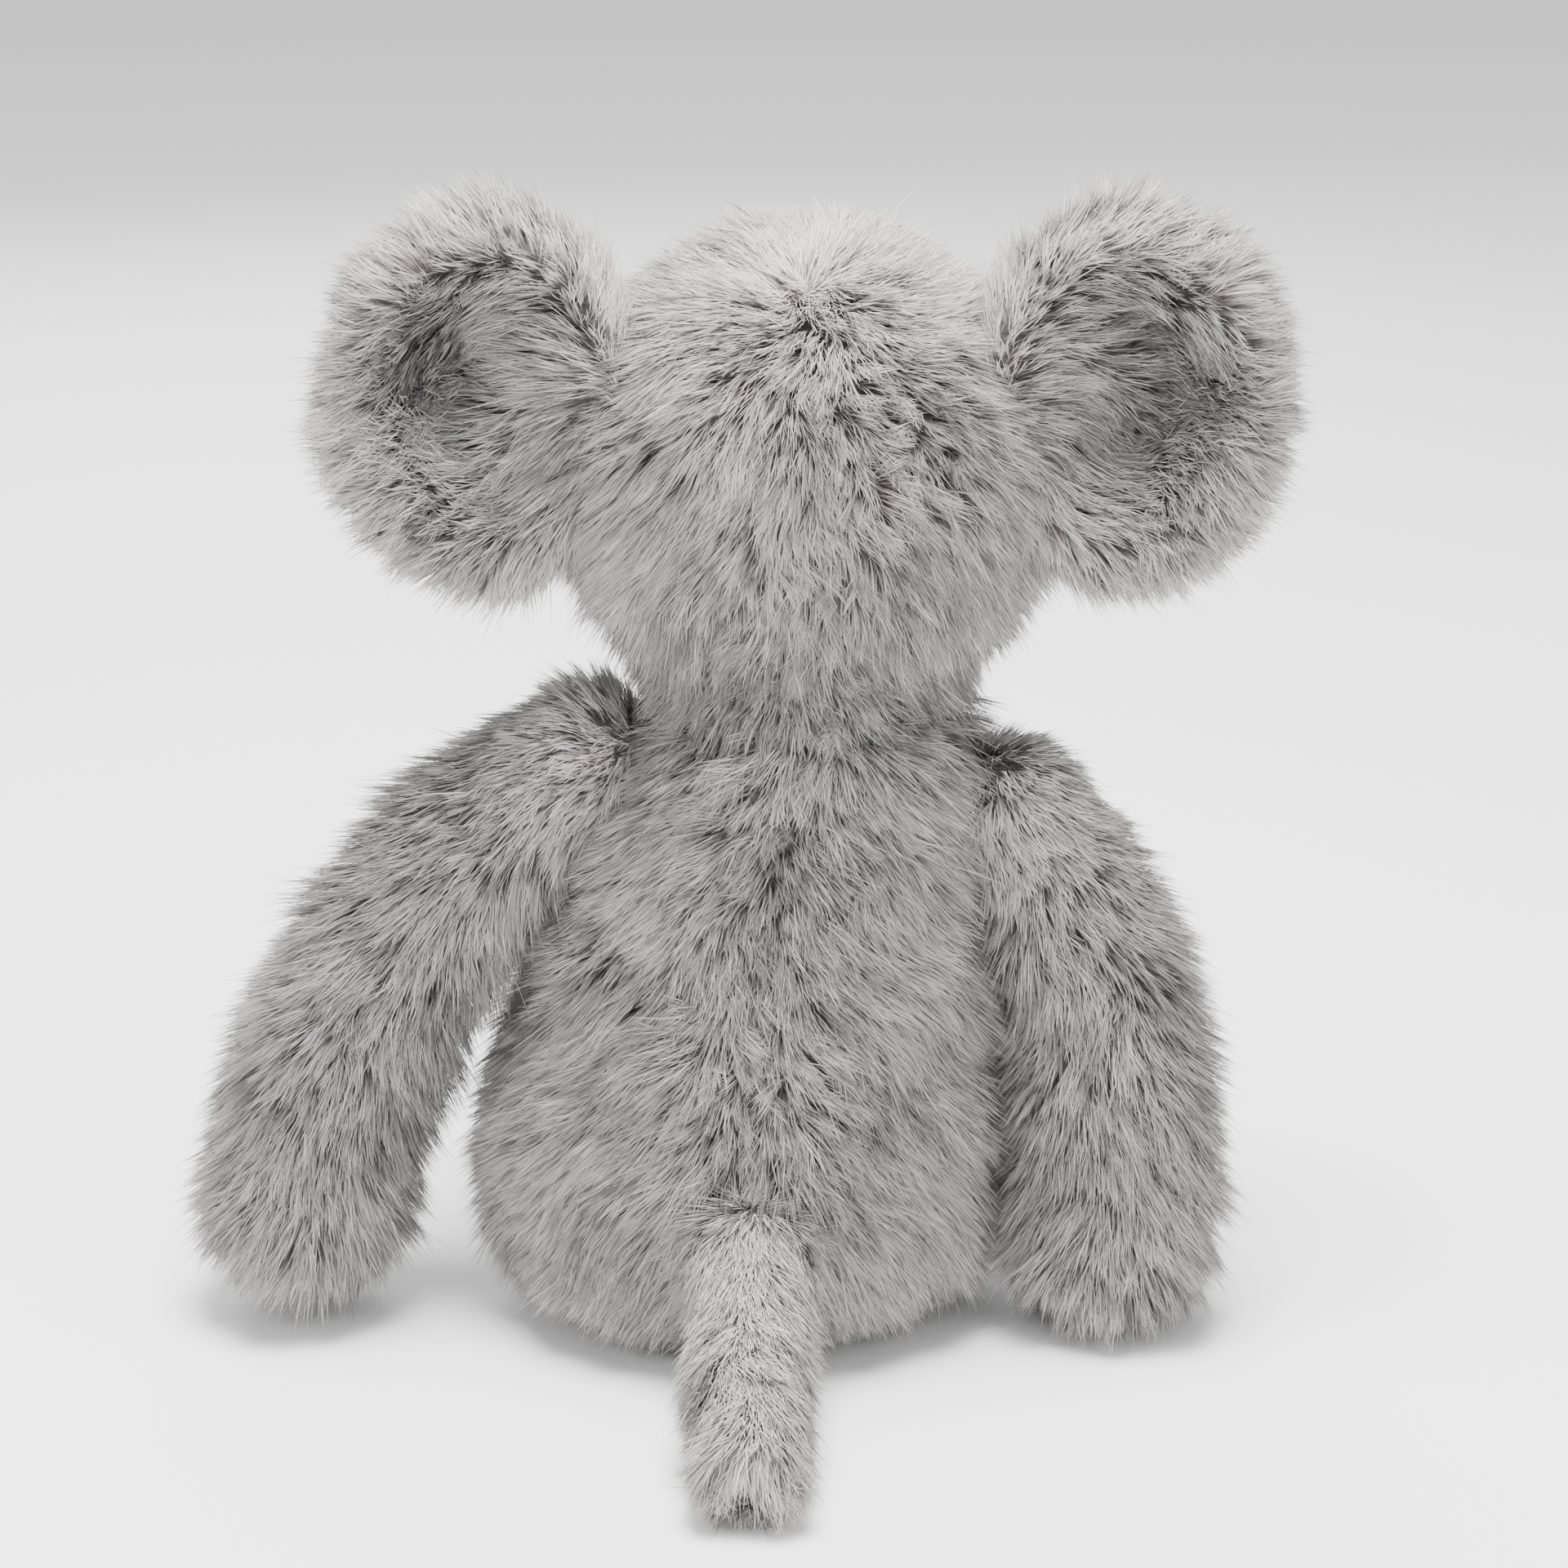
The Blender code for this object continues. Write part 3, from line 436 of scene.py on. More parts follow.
# One piece from skins and strands: corners, faces, map and soft normals, put in as arrays.
def furPiece(name, skins, strands, material):
    points, quads, used = [], [], 0
    for skinPoints, skinQuads in skins:
        points.append(skinPoints)
        quads.append(skinQuads + used)
        used += len(skinPoints)
    skinCount = used
    blades = np.concatenate([s[0] for s in strands]) if strands else np.zeros((0, 8, 3))
    first = skinCount + np.arange(len(blades))[:, None] * 8
    bladeQuads = first + [0, 1, 3, 2]
    tips = np.concatenate([first + [2, 3, 4], first + [6, 5, 7]])
    allPoints = np.concatenate(points + [blades.reshape(-1, 3)])
    quads = np.concatenate(quads + [bladeQuads])
    loops = np.concatenate([quads.ravel(), tips.ravel()])
    sizes = np.concatenate([np.full(len(quads), 4), np.full(len(tips), 3)])
    starts = np.concatenate([[0], np.cumsum(sizes)[:-1]])
    mesh = bpy.data.meshes.new(name)
    mesh.vertices.add(len(allPoints))
    mesh.vertices.foreach_set("co", allPoints.astype(np.float32).ravel())
    mesh.loops.add(len(loops))
    mesh.loops.foreach_set("vertex_index", loops.astype(np.int32))
    mesh.polygons.add(len(sizes))
    mesh.polygons.foreach_set("loop_start", starts.astype(np.int32))
    mesh.update(calc_edges=True)
    atlas = np.zeros((len(allPoints), 2), np.float32)
    # painted shade: the skin under the pile takes the dark colour near the roots
    atlas[:skinCount] = (0.42, 0.22)
    if strands:
        atlas[skinCount:] = np.concatenate([s[2] for s in strands]).reshape(-1, 2)
    layer = mesh.uv_layers.new(name="OFBake")
    layer.uv.foreach_set("vector", atlas[loops].ravel())
    mesh.polygons.foreach_set("use_smooth", np.ones(len(sizes), bool))
    if strands:
        skinNormals = np.zeros((skinCount, 3))
        shades = np.concatenate([s[1] for s in strands]).reshape(-1, 3)
        mesh.normals_split_custom_set_from_vertices(np.concatenate([skinNormals, shades]))
    mesh.materials.append(material)
    made = bpy.data.objects.new(name, mesh)
    bpy.context.scene.collection.objects.link(made)
    print(name, "triangles", int((sizes - 2).sum()))
    return made


# Makes a fur piece move with its body, and hides the parts it covers.
def settle(piece, body, slot, fill, *nodes):
    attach(piece, body)
    if nodes:
        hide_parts(*nodes)


# ---- torso ----

torso = {
    "backing": 0.0020,       # the fabric's backing lies this far inside the pressed pile
    "depth": 0.88,
    "lean": 0.017,
    "halfWidths": [(0.042, 0.0), (0.057, 0.014), (0.0625, 0.050), (0.049, 0.115), (0.040, 0.156)],
    "sideSeamY": -0.008,
    "seamDent": 0.0014,      # how deep the back seam lies
    "darker": 0.26,          # painted shade: how much darker the pile is painted here than on the crown
    "density": {             # strands to a square mm
        "back_panel_left": 3.0, "back_panel_right": 3.0, "belly_panel": 2.0,
    },
}
torsoTop = corners("belly_panel")[1][2]


def torsoCurve():
    outline = [(max(r - torso["backing"], 0), z) for r, z in torso["halfWidths"]]
    outline[0] = (outline[0][0], 0.0006)
    body = smoothCurve(outline)
    floor = np.linspace([0.0, 0.0006], outline[0], 12)[:-1]
    turn = np.linspace(0, math.pi / 2, 14)[1:, None]
    dome = np.array([0, torsoTop]) + outline[-1][0] * np.hstack([np.cos(turn), 0.35 * np.sin(turn)])
    return np.vstack([floor, body, dome])


torsoProfile = torsoCurve()


# Torso: an outline of half width and height, turned about Z, flattened front to back, and
# leaned sideways with the square of the height. u is a full turn from the back, v runs up.
def torsoPoint(u, v):
    r, z = alongCurve(torsoProfile, v).T
    turn = u * 2 * np.pi
    x, y = r * np.sin(turn), torso["depth"] * r * np.cos(turn)
    seam = np.exp(-(x / 0.007) ** 2) * ease(y, 0, 0.02) * ease(z, 0.01, 0.05)
    y = y - torso["seamDent"] * seam
    x = x - torso["lean"] * (np.clip(z, 0, None) / torsoTop) ** 2
    return np.stack([x, y, z], axis=-1)


# Distance across from the leaning middle of the body.
def torsoAcross(points):
    return points[:, 0] + torso["lean"] * (points[:, 2] / torsoTop) ** 2


# Combed down and outwards from the centre back seam.
def torsoComb(points, normals):
    x = torsoAcross(points)
    outwards = np.tanh(x / 0.012) * 0.75 * np.exp(-(np.abs(x) / 0.045) ** 2)
    outwards = outwards + x / 0.06 * 0.35
    return np.stack([outwards, 0 * x, -np.ones_like(x)], axis=-1)


# No pile where the toy sits and none under the head.
def torsoThin(points):
    return ease(points[:, 2], 0.0008, 0.006) * (1 - ease(points[:, 2], torsoTop, torsoTop + 0.006))


# Shorter along the back seam and painted darker there as shade in the parting, short near the
# ground, flat underneath, and the whole torso painted darker as shade.
def torsoTune(points, normals, lift, length, tint):
    seam = np.exp(-((torsoAcross(points) / 0.004) ** 2))
    seam = seam * (points[:, 1] > 0)
    length = length * (1 - 0.35 * seam) * (0.55 + 0.45 * ease(points[:, 2], 0.003, 0.03))
    under = 1 - ease(normals[:, 2], -0.6, -0.1)
    lift = lift * (1 - 0.4 * under)
    return lift, length, tint - 0.12 * seam - torso["darker"]


# Rumpled pile: down the middle of the back, and a ridge across it.
def torsoRuffle(points):
    x = torsoAcross(points)
    seam = 0.45 * np.exp(-(x / 0.014) ** 2) * ease(points[:, 2], 0.03, 0.05)
    ridge = np.exp(-((x - 0.002) / 0.016) ** 2 - ((points[:, 2] - 0.080 - 0.7 * x) / 0.006) ** 2)
    return np.clip(seam + ridge, 0, 1) * (points[:, 1] > 0)


def torsoSurface(uRange):
    return {"point": torsoPoint, "u": uRange, "v": (0.0, 1.0), "facing": -1}


sideTurn = 0.25 - math.asin(torso["sideSeamY"] / (torso["depth"] * 0.060)) / (2 * math.pi)
torsoPanels = {
    "back_panel_left": (0.0, sideTurn),
    "back_panel_right": (-sideTurn, 0.0),
    "belly_panel": (sideTurn, 1 - sideTurn),
}
for index, (node, uRange) in enumerate(torsoPanels.items()):
    surface = torsoSurface(uRange)
    rng = np.random.default_rng(100 + index)
    strands = growStrands(surface, torsoComb, rng, thin=torsoThin, tune=torsoTune,
                          look={"perSquareMm": torso["density"][node]}, ruffle=torsoRuffle)
    piece = furPiece("fur_" + node, [skinGrid(surface)], [strands], furMain)
    settle(piece, "torso", "long_pile_plush", 0.7, node)


# ---- head and neck ----

head = {
    "halfWidth": 0.058, "halfDepth": 0.058, "halfHeight": 0.0585,
    "backing": 0.0020,
    "crown": (-0.001, 0.030, 0.048),  # from the head's centre to where the pile parts
    "rumple": ((-0.022, 0.045, 0.014), (0.019, 0.030, 0.018)),  # its middle, and half sizes
    "gussetHalf": 0.016,
    "neckDrop": 0.006,
    "neckBlend": (-0.062, -0.030),    # heights between which the neck joins the head
    "seamDent": 0.0014,
    "inside": (0.052, 0.054, 0.058),  # half sizes within which the ears carry no pile
}
neckAt = jointAt("head_nod")
headBack = corners("head_side_left")[1][1]
headTop = corners("head_gusset")[1][2]
headCentre = np.array([neckAt[0], headBack - head["halfDepth"], headTop - head["halfHeight"]])


def headCurve():
    w, h = head["halfWidth"] - head["backing"], head["halfHeight"] - head["backing"]
    turn = np.linspace(-0.93, math.pi / 2, 60)[:, None]
    egg = np.hstack([w * np.cos(turn), h * np.sin(turn)])
    neck = [0.030, neckAt[2] - headCentre[2] - head["neckDrop"]]
    flare = smoothCurve([neck, [0.0315, neck[1] + 0.006], egg[2]], 12)
    return np.vstack([[0.0, neck[1]], flare, egg[4:]])


headProfile = headCurve()


# Head: an egg outline with a short neck, turned about Z, its neck end moved back over the
# joint, with a shallow valley along the seam down the back. u is a full turn from the back,
# v runs up.
def headPoint(u, v):
    r, z = alongCurve(headProfile, v).T
    turn = u * 2 * np.pi
    x, y = r * np.sin(turn), r * np.cos(turn)
    y = y + (1 - ease(z, *head["neckBlend"])) * (neckAt[1] - headCentre[1])
    seam = np.exp(-(x / 0.007) ** 2) * ease(y, 0, 0.02) * (1 - ease(z, 0.0, 0.02))
    y = y - head["seamDent"] * seam
    return np.stack([x, y, z], axis=-1) + headCentre


# Combed away from the crown, more and more downwards below it.
def headComb(points, normals):
    rel = points - headCentre
    away = unit(rel - np.array(head["crown"]))
    down = ease(-rel[:, 2], -0.02, 0.05)[:, None]
    outwards = np.tanh(rel[:, 0] / 0.01)[:, None] * np.array([0.30, 0, 0]) * down
    return away * (1 - 0.6 * down) + np.array([0, 0, -0.8]) * down + outwards


# Rumpled pile: a patch at the back on the toy's right, and down the seam to the neck.
def headRuffle(points):
    rel = points - headCentre
    middle, reach = np.array(head["rumple"])
    patch = np.exp(-(((rel - middle) / reach) ** 2).sum(1))
    seam = np.exp(-((rel[:, 0] / 0.020) ** 2)) * ease(-rel[:, 2], -0.005, 0.015)
    crown = np.exp(-((rel - np.array(head["crown"])) ** 2).sum(1) / 0.014 ** 2)
    return np.clip(patch + 0.8 * seam + 0.7 * crown, 0, 1) * (rel[:, 1] > 0)


# Ruffled where it is rumpled and painted a little darker there as shade, short on the face, painted
# highlight on top and at the crown's parting, painted shade darker towards the neck.
def headTune(points, normals, lift, length, tint):
    rel = points - headCentre
    rumple = headRuffle(points)
    lift = lift * (1 + 0.35 * rumple)
    length = length * (1 - 0.25 * rumple)
    face = ease(-rel[:, 1], 0.030, 0.052)
    length = length * (1 - 0.45 * face)
    parting = np.exp(-((rel - np.array(head["crown"])) ** 2).sum(1) / 0.012 ** 2)
    lift = lift * (1 - 0.35 * parting)
    top = ease(rel[:, 2], 0.015, 0.05)
    low = ease(-rel[:, 2], 0.0, 0.035)
    forehead = top * ease(-rel[:, 1], -0.015, 0.015)
    return (lift * (1 - 0.25 * top - 0.27 * forehead), length * (1 - 0.15 * top),
            tint - 0.04 * rumple + 0.30 * top + 0.20 * parting - 0.32 * low)


eyeCentres = {s: (corners("eye_" + s)[0] + corners("eye_" + s)[1]) / 2 for s in ("left", "right")}
trunkAt = jointAt("trunk_swing")


# Thicker at the crown and where it is rumpled, none at the eyes, trunk root and neck opening.
def headThin(points):
    crown = np.exp(-((points - headCentre - np.array(head["crown"])) ** 2).sum(1) / 0.012 ** 2)
    keep = 1 + 1.2 * crown + 0.3 * headRuffle(points)
    for centre in eyeCentres.values():
        keep = keep * ease(np.linalg.norm(points - centre, axis=1), 0.0085, 0.0105)
    keep = keep * ease(np.linalg.norm(points - trunkAt, axis=1), 0.010, 0.013)
    return keep * ease(points[:, 2], neckAt[2] - 0.006, neckAt[2])


def onGusset(points):
    rel = points - headCentre
    return (np.abs(rel[:, 0]) < head["gussetHalf"]) & ((rel[:, 1] < 0) | (rel[:, 2] > 0.012))


headSurface = {"point": headPoint, "u": (-0.5, 0.5), "v": (0.0, 1.0), "facing": -1}
headStrands = growStrands(headSurface, headComb, np.random.default_rng(200), thin=headThin,
                          tune=headTune, ruffle=headRuffle)
headSkin = skinGrid(headSurface, 96, 60)


def pickSkin(skin, keep):
    points, quads = skin
    kept = quads[keep(points[quads].mean(1))]
    used, inverse = np.unique(kept, return_inverse=True)
    return points[used], inverse.reshape(kept.shape)


def pickStrands(strands, keep):
    chosen = keep(strands[0][:, 0])
    return tuple(part[chosen] for part in strands)


headPanels = {
    "head_gusset": onGusset,
    "head_side_left": lambda p: ~onGusset(p) & (p[:, 0] >= headCentre[0]),
    "head_side_right": lambda p: ~onGusset(p) & (p[:, 0] < headCentre[0]),
}
for node, keep in headPanels.items():
    piece = furPiece("fur_" + node, [pickSkin(headSkin, keep)], [pickStrands(headStrands, keep)],
                     furMain)
    settle(piece, "head", "long_pile_plush", 0.8, node)


# ---- limbs ----

# A limb along a centre line: a smooth run of radii with rounded ends. u turns about the
# line, v runs from the root's pole to the tip's pole.
def limbSurface(line, radii, sideways, flat=1.0):
    curve = smoothCurve(line, 120)
    steps = np.concatenate([[0], np.cumsum(np.linalg.norm(np.diff(curve, axis=0), axis=1))])
    total = steps[-1]
    radius = smoothCurve([(r,) for r in radii], 120)[:, 0]
    sideways = np.array(sideways, float)

    def point(u, v):
        rootR, tipR = radius[0], radius[-1]
        path = -rootR + v * (total + rootR + tipR * flat)
        s = np.clip(path, 0, total)
        along = np.stack([np.interp(s, steps, curve[:, k]) for k in range(3)], axis=-1)
        r = np.interp(s, steps, radius)
        before = np.clip(-path, 0, rootR)
        beyond = np.clip(path - total, 0, tipR * flat)
        r = r * np.sqrt(np.clip(1 - (before / rootR) ** 2, 0, 1))
        r = r * np.clip(1 - (beyond / (tipR * flat)) ** 2.6, 0, 1) ** 0.42
        ahead = np.stack([np.interp(np.clip(s + 0.001, 0, total), steps, curve[:, k])
                          - np.interp(np.clip(s - 0.001, 0, total), steps, curve[:, k])
                          for k in range(3)], axis=-1)
        ahead = unit(ahead)
        one = unit(sideways - ahead * (ahead @ sideways)[:, None])
        two = np.cross(ahead, one)
        turn = (u * 2 * np.pi)[:, None]
        centre = along + ahead * (beyond - before)[:, None]
        return centre + (one * np.cos(turn) + two * np.sin(turn)) * r[:, None]

    return {"point": point, "u": (0.0, 1.0), "v": (0.0, 1.0), "facing": 1, "curve": curve,
            "steps": steps}


# Combed along the limb, towards its tip, with a sideways drift where one is given.
def limbComb(surface, drift=None):
    curve = surface["curve"]
    ahead = unit(np.gradient(curve, axis=0))

    def comb(points, normals):
        near = np.empty(len(points), int)
        for start in range(0, len(points), 4000):
            part = points[start:start + 4000]
            gap = ((part[:, None] - curve[None]) ** 2).sum(-1)
            near[start:start + 4000] = gap.argmin(1)
        flow = ahead[near]
        return flow + drift(points, normals) if drift else flow

    return comb


arm = {
    "rootRadius": 0.0155, "upperRadius": 0.0175, "middleRadius": 0.0190, "handRadius": 0.0200,
    "bow": {"left": 0.014, "right": 0.010},
    "density": 2.1,          # strands to a square mm
    "darker": 0.19,          # painted shade: how much darker the pile is painted below the shoulder
}


def armLine(side):
    sign = 1 if side == "left" else -1
    shoulder = jointAt("arm_swing_" + side)
    low, high = corners("arm_%s_skin" % side)
    reach = arm["handRadius"] + 0.0020
    outer = high[0] - reach if side == "left" else low[0] + reach
    hand = np.array([outer - sign * 0.001, high[1] - reach, low[2] + reach])
    chord = hand - shoulder
    outwards = unit(np.cross(chord, [0, 1, 0])) * -sign
    outwards = outwards * np.sign(outwards[0] * sign)
    t = np.linspace(0, 1, 6)[:, None]
    return shoulder + chord * t + outwards * arm["bow"][side] * 4 * t * (1 - t)


for index, side in enumerate(("left", "right")):
    radii = [arm["rootRadius"], arm["upperRadius"], arm["middleRadius"], arm["handRadius"] * 1.02,
             arm["handRadius"]]
    surface = limbSurface(armLine(side), radii, (0, 1, 0))
    outwards = np.array([0.7 if side == "left" else -0.7, 0.0, 0.0])

    # near the shoulder the pile also runs outwards, so that it doesn't part on the root
    def armDrift(points, normals):
        near = np.exp(-np.linalg.norm(points - surface["curve"][0], axis=1) / 0.018)
        return near[:, None] * outwards

    # painted shade: the pile is painted darker away from the shoulder
    def armTune(points, normals, lift, length, tint):
        far = ease(np.linalg.norm(points - surface["curve"][0], axis=1), 0.014, 0.030)
        return (lift * (0.70 + 0.30 * far), length * (0.70 + 0.30 * far),
                tint - arm["darker"] * far)

    def armThin(points):
        return 1.7 - 0.7 * ease(np.linalg.norm(points - surface["curve"][0], axis=1), 0.012, 0.030)

    strands = growStrands(surface, limbComb(surface, armDrift), np.random.default_rng(300 + index),
                          look={"perSquareMm": arm["density"]}, thin=armThin, tune=armTune)
    name = "fur_arm_" + side
    piece = furPiece(name, [skinGrid(surface, 32, 60)], [strands], furMain)
    settle(piece, "arm_" + side, "long_pile_plush", 0.7, "arm_%s_skin" % side)

leg = {"rootRadius": 0.0155, "middleRadius": 0.0175, "footRadius": 0.0200, "density": 2.2}
for index, side in enumerate(("left", "right")):
    hip = jointAt("leg_raise_" + side)
    soleLow, soleHigh = corners("foot_sole_" + side)
    sole = (soleLow + soleHigh) / 2
    line = hip + (sole - hip) * np.array([0, 0.33, 0.66, 0.97])[:, None]
    radii = [leg["rootRadius"], leg["middleRadius"], leg["footRadius"], leg["footRadius"]]
    surface = limbSurface(line, radii, (0, 0, 1), flat=0.12)
    forward = unit(sole - hip)

    def legThin(points):
        return 1 - ease((points - sole) @ forward, -0.006, -0.001)

    def legTune(points, normals, lift, length, tint):
        low = 1 - ease(points[:, 2], 0.002, 0.012)
        return lift * (0.62 - 0.3 * low), length * (0.72 - 0.3 * low), tint + 0.05

    strands = growStrands(surface, limbComb(surface), np.random.default_rng(320 + index),
                          look={"perSquareMm": leg["density"]}, thin=legThin, tune=legTune)
    piece = furPiece("fur_leg_" + side, [skinGrid(surface, 32, 40)], [strands], furMain)
    settle(piece, "leg_" + side, "long_pile_plush", 0.7, "leg_skin_" + side)

tail = {
    "rootRadius": 0.0140, "middleRadius": 0.0112, "tipRadius": 0.0090,
    "hump": (0.0055, 0.0022, 0.0004, 0.0),  # how far the line rises over the sewn root
    "look": {"length": 0.0100, "lift": 0.34, "mess": 0.8, "perSquareMm": 3.6},
}
tailAt = jointAt("tail_lift")
tailEnd = corners("tail_skin")[1][1]
tailTip = np.array([tailAt[0], tailEnd - 0.008, tail["tipRadius"] + 0.0030])
tailLine = tailAt + (tailTip - tailAt) * np.array([0, 0.3, 0.65, 1.0])[:, None]
tailLine[:, 2] += tail["hump"]
tailSurface = limbSurface(tailLine, [tail["rootRadius"], tail["middleRadius"],
                                     tail["middleRadius"], tail["tipRadius"]], (1, 0, 0), flat=0.5)


# The tail's pile parts along its top and lies out to both sides.
def tailDrift(points, normals):
    x = points[:, 0] - tailAt[0]
    return np.stack([np.tanh(x / 0.006) * 0.6, 0 * x, -0.10 * np.ones_like(x)], axis=-1)


tailStrands = growStrands(tailSurface, limbComb(tailSurface, tailDrift),
                          np.random.default_rng(340), look=tail["look"])
# the tail wears the lighter copy of the pile, painted light
piece = furPiece("fur_tail", [skinGrid(tailSurface, 32, 40)], [tailStrands], furPaintedLight)
settle(piece, "tail", "pale_long_pile_plush", 0.5, "tail_skin")

trunk = {
    "rootRadius": 0.0120, "middleRadius": 0.0118, "tipRadius": 0.0098,
    "look": {"length": 0.0075, "perSquareMm": 2.3},
}
trunkLow = corners("trunk_skin")[0]
trunkTip = np.array([trunkAt[0], trunkLow[1] + 0.014, trunkLow[2] + 0.0095])
trunkMiddle = (trunkAt + trunkTip) / 2 + np.array([0, -0.008, 0.004])
trunkSurface = limbSurface([trunkAt, (trunkAt + trunkMiddle) / 2 + [0, -0.002, 0.002], trunkMiddle,
                            trunkTip], [trunk["rootRadius"], trunk["middleRadius"],
                                        trunk["middleRadius"], trunk["tipRadius"]], (1, 0, 0),
                           flat=0.9)
trunkStrands = growStrands(trunkSurface, limbComb(trunkSurface), np.random.default_rng(360),
                           look=trunk["look"])
piece = furPiece("fur_trunk", [skinGrid(trunkSurface, 32, 40)], [trunkStrands], furMain)
settle(piece, "trunk", "long_pile_plush", 0.6, "trunk_skin")
print("limbs made")


# ---- neck ----

neck = {"radius": 0.0275, "density": 1.4}


# Neck: a ball about the joint, so it stays shut however the head turns or nods.
def neckPoint(u, v):
    turn, up = u * 2 * np.pi, (v - 0.5) * np.pi
    ring = neck["radius"] * np.cos(up)
    return np.stack([ring * np.sin(turn), ring * np.cos(turn), neck["radius"] * np.sin(up)],
                    axis=-1) + neckAt


neckSurface = {"point": neckPoint, "u": (0.0, 1.0), "v": (0.25, 0.75), "facing": -1}
neckStrands = growStrands(neckSurface, lambda p, n: np.tile([0, 0, -1.0], (len(p), 1)),
                          np.random.default_rng(380), look={"perSquareMm": neck["density"]})
piece = furPiece("fur_neck", [skinGrid({**neckSurface, "v": (0.0, 1.0)}, 40, 24)], [neckStrands],
                 furMain)
settle(piece, "neck", "long_pile_plush", 0.7, "neck_stuffing")


# ---- ears ----

ear = {
    "halfWidth": 0.0342, "halfHeight": 0.0430,
    "cup": 0.014,            # how far the rim stands behind the middle
    "front": 0.0062,         # from the dish's middle surface to the front skin
    "back": 0.0022,          # the same to the back skin, at the bottom of the bowl
    "puff": 0.0140,          # how much fuller the rim is than the bottom of the bowl
    "bandStart": 0.22,       # share of the way out where the rim's swell begins
    "bandFull": 0.88,
    "lobe": {                # the fold from the root: its middle (outwards, up), way and halves
        "left": ((-0.006, -0.009), (0.65, -0.76), (0.024, 0.0095)),
        "right": ((-0.009, 0.010), (0.77, -0.64), (0.022, 0.0120)),
    },
    "bowl": {"left": (0.010, 0.010), "right": (0.007, -0.003)},  # where its painted shade is darkest
    "valley": {              # the way between fold and rim painted dark as shade, from and to (outwards, up)
        "left": ((0.006, -0.004), (-0.012, -0.023)),
        "right": ((0.008, 0.018), (0.006, -0.016)),
    },
    "bowlReach": 0.016,
    "valleyReach": 0.005,
    "shade": {"left": 0.42, "right": 0.75},  # how much darker the bowl's pile is painted, as shade
    "crease": (1.04, 1.20),  # from where to where the crease fades, as fromHead measures
    "inboard": 0.015,        # from the joint out to the ear's middle
    "combFrom": 0.032,       # from the ear's middle in to where its pile fans out from
}


# Ear: an oval dish, u round its middle, v from the middle of its back (0) over the rim
# (at 0.5) to the middle of its front (1). The back has a swollen rim round a bowl, and a
# fold that runs into the bowl from the root.
def earPoint(side):
    sign = 1 if side == "left" else -1
    pivot = jointAt("ear_flap_" + side)
    centre = pivot + np.array([sign * ear["inboard"], 0, 0])
    lobeAt, lobeWay, lobeHalf = ear["lobe"][side]

    def point(u, v):
        turn = u * 2 * np.pi
        reach = 1 - np.abs(2 * v - 1)
        behind = v < 0.5
        r = np.sin(reach * np.pi / 2)
        x = ear["halfWidth"] * r * np.cos(turn)
        z = ear["halfHeight"] * r * np.sin(turn)
        dx, dz = x - lobeAt[0], z - lobeAt[1]
        along, across = dx * lobeWay[0] + dz * lobeWay[1], dx * lobeWay[1] - dz * lobeWay[0]
        lobe = 0.75 * np.exp(-(along / lobeHalf[0]) ** 2 - (across / lobeHalf[1]) ** 2)
        band = ease(r, ear["bandStart"], ear["bandFull"])
        full = ear["back"] + ear["puff"] * (1 - (1 - band) * (1 - lobe))
        y = ear["cup"] * r ** 2
        y = y + np.where(behind, full * np.sqrt(np.clip(1 - r ** 5, 0, 1)),
                         -ear["front"] * np.sqrt(np.clip(1 - r ** 10, 0, 1)))
        return np.stack([sign * x, y, z], axis=-1) + centre

    return point, centre


# Combed from the ear's root beside the head, fanning out to the rim.
def earComb(centre, side):
    sign = 1 if side == "left" else -1

    def comb(points, normals):
        rel = points - centre
        outwards = rel[:, 0] + sign * ear["combFrom"]
        return unit(np.stack([outwards, 0 * outwards, rel[:, 2]], axis=-1))

    return comb


# How far out of the head a place is: 1 on an egg just under its skin.
def fromHead(points):
    return np.linalg.norm((points - headCentre) / np.array(head["inside"]), axis=1)


# No pile where the ear's root goes into the head.
def earThin(points):
    return ease(fromHead(points), 0.97, 1.03)


# The pile is shorter and painted darker as shade in the bowl, in the valley beside the fold and in
# the crease against the head, painted paler at the rim as a highlight, and lies flatter on the
# bowl's steep wall.
def earTune(centre, side):
    sign = 1 if side == "left" else -1
    bowlAt = np.array(ear["bowl"][side])
    start, end = np.array(ear["valley"][side])
    run = end - start

    def tune(points, normals, lift, length, tint):
        rel = points - centre
        flat = np.stack([rel[:, 0] * sign, rel[:, 2]], axis=-1)
        bowl = np.exp(-((flat - bowlAt) ** 2).sum(1) / ear["bowlReach"] ** 2)
        along = np.clip(((flat - start) @ run) / (run @ run), 0, 1)
        aside = ((flat - start - along[:, None] * run) ** 2).sum(1)
        valley = np.exp(-aside / ear["valleyReach"] ** 2)
        deep = np.maximum(bowl, 0.7 * valley) * (points[:, 1] > centre[1])
        crease = 1 - ease(fromHead(points), *ear["crease"])
        out = np.hypot(rel[:, 0] / ear["halfWidth"], rel[:, 2] / ear["halfHeight"])
        rim = ease(out, 0.75, 1.0)
        wall = ease(-normals[:, 0] * sign, 0.15, 0.6) * (points[:, 1] > centre[1])
        return (lift * (1 - 0.45 * wall),
                length * (1 - 0.30 * deep) * (1 - 0.12 * rim) * (1 - 0.40 * crease),
                tint - 0.08 - ear["shade"][side] * deep + 0.30 * rim - 0.45 * crease)

    return tune


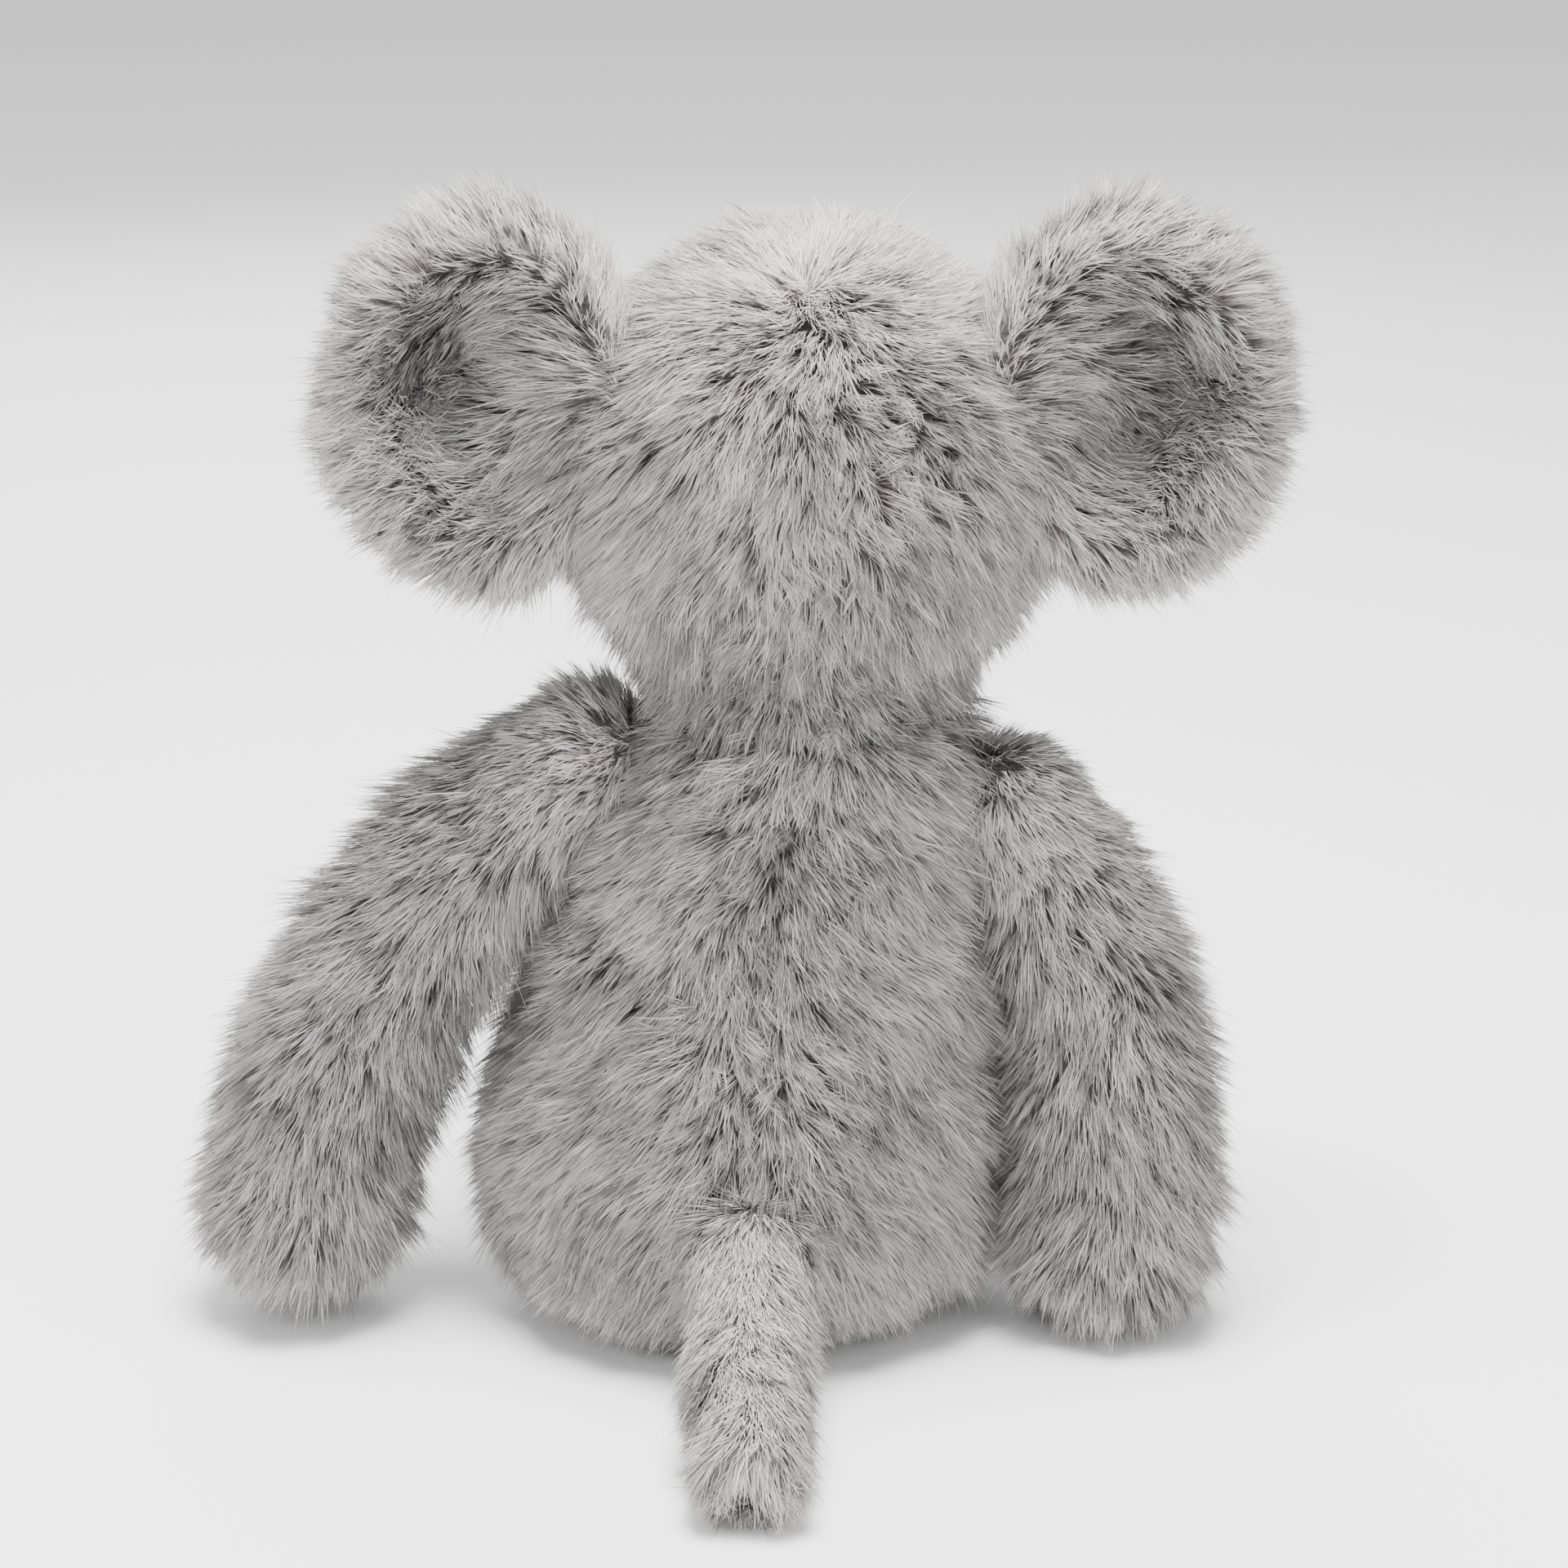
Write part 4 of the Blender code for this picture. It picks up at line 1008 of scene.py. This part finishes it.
for index, side in enumerate(("left", "right")):
    point, centre = earPoint(side)
    facing = 1 if side == "left" else -1

    layers = {"ear_back_": ((0.0, 0.5), "pale_long_pile_plush"),
              "ear_front_": ((0.5, 1.0), "long_pile_plush")}
    for layer, (vRange, slotName) in layers.items():
        surface = {"point": point, "u": (0.0, 1.0), "v": vRange, "facing": facing}
        rng = np.random.default_rng(400 + index * 10 + len(layer))
        strands = growStrands(surface, earComb(centre, side), rng, thin=earThin,
                              tune=earTune(centre, side))
        piece = furPiece("fur_" + layer + side, [skinGrid(surface, 48, 24)], [strands], furMain)
        settle(piece, "ear_" + side, slotName, 0.4, layer + side)
print("ears made")


# ---- seat, soles ----

# Flat felted disc with a rounded edge, u round it, v from the middle of one face over the
# edge to the middle of the other.
def discPoint(centre, axis, across, radii, thick):
    axis, across = unit(np.array(axis, float)), unit(np.array(across, float))
    other = np.cross(axis, across)

    def point(u, v):
        turn = u * 2 * np.pi
        reach = np.clip(1.25 * (1 - np.abs(2 * v - 1)), 0, 1) ** 0.8
        height = np.where(v < 0.5, 0.5, -0.5) * np.sqrt(np.clip(1 - reach ** 10, 0, 1)) * thick
        x, y = radii[0] * reach * np.cos(turn), radii[1] * reach * np.sin(turn)
        return (centre + across * x[:, None] + other * y[:, None] + axis * height[:, None])

    return point


def plainPiece(name, surface, material, across=48, down=24):
    points, quads = skinGrid(surface, across, down)
    return furPiece(name, [(points, quads)], [], material)


for side in ("left", "right"):
    low, high = corners("foot_sole_" + side)
    hip = jointAt("leg_raise_" + side)
    middle = (low + high) / 2
    axis = unit(middle - hip)
    radius = (high[0] - low[0]) / 2 * 1.08
    point = discPoint(middle + axis * 0.0006, axis, (1, 0, 0), (radius, radius), 0.0034)
    surface = {"point": point, "u": (0.0, 1.0), "v": (0.0, 1.0), "facing": -1}
    piece = plainPiece("sole_" + side, surface, napped)
    settle(piece, "leg_" + side, "short_napped_plush", 0.2, "foot_sole_" + side)

seatLow, seatHigh = corners("seat_panel")
point = discPoint((seatLow + seatHigh) / 2, (0, 0, 1), (1, 0, 0),
                  ((seatHigh[0] - seatLow[0]) / 2, (seatHigh[1] - seatLow[1]) / 2),
                  seatHigh[2] - seatLow[2])
surface = {"point": point, "u": (0.0, 1.0), "v": (0.0, 1.0), "facing": -1}
piece = plainPiece("seat_panel_cloth", surface, napped)
settle(piece, "torso", "short_napped_plush", 0.2, "seat_panel")
print("soles and seat made")


# ---- camera, light, floor ----

view = {
    "target": (-0.0114, 0.0, 0.139), "distance": 1.10, "raise": math.radians(17), "across": 0.3986,
}


def addCamera():
    data = bpy.data.cameras.new("camera")
    made = bpy.data.objects.new("camera", data)
    bpy.context.scene.collection.objects.link(made)
    back = Vector((0, math.cos(view["raise"]), math.sin(view["raise"])))
    made.location = Vector(view["target"]) + back * view["distance"]
    made.rotation_euler = back.to_track_quat("Z", "Y").to_euler()
    data.sensor_width = 36
    data.lens = 36 * view["distance"] / view["across"]
    data.clip_start = 0.05
    bpy.context.scene.camera = made


# Name, place in metres, width in metres, power in watts.
lights = [
    ("top light", (0.0, 0.20, 1.5), 0.8, 76),
    ("low fill light", (0.0, 1.6, 0.30), 1.2, 6),
    ("back left light", (0.9, 1.2, 0.9), 0.9, 9),
    ("back right light", (-1.0, 1.1, 0.8), 0.9, 7),
    ("front light", (0.3, -1.3, 0.9), 1.0, 16),
]


def addLight(name, place, size, power, target=(0, 0, 0.14)):
    data = bpy.data.lights.new(name, "AREA")
    data.shape = "DISK"
    data.size = size
    data.energy = power
    made = bpy.data.objects.new(name, data)
    bpy.context.scene.collection.objects.link(made)
    made.location = place
    made.rotation_euler = (Vector(place) - Vector(target)).to_track_quat("Z", "Y").to_euler()


def addStage():
    bpy.ops.mesh.primitive_plane_add(size=12, location=(0, 0, -0.0006))
    floor = bpy.context.object
    floor.name = "floor"
    made, _, shader = newMaterial("Pale floor")
    shader.inputs["Base Color"].default_value = (0.93, 0.93, 0.93, 1)
    shader.inputs["Roughness"].default_value = 0.9
    floor.data.materials.append(made)
    world = bpy.data.worlds.new("studio")
    world.use_nodes = True
    world.node_tree.nodes["Background"].inputs[0].default_value = (1, 1, 1, 1)
    world.node_tree.nodes["Background"].inputs[1].default_value = 0.86
    bpy.context.scene.world = world


addCamera()
for light in lights:
    addLight(*light)
addStage()
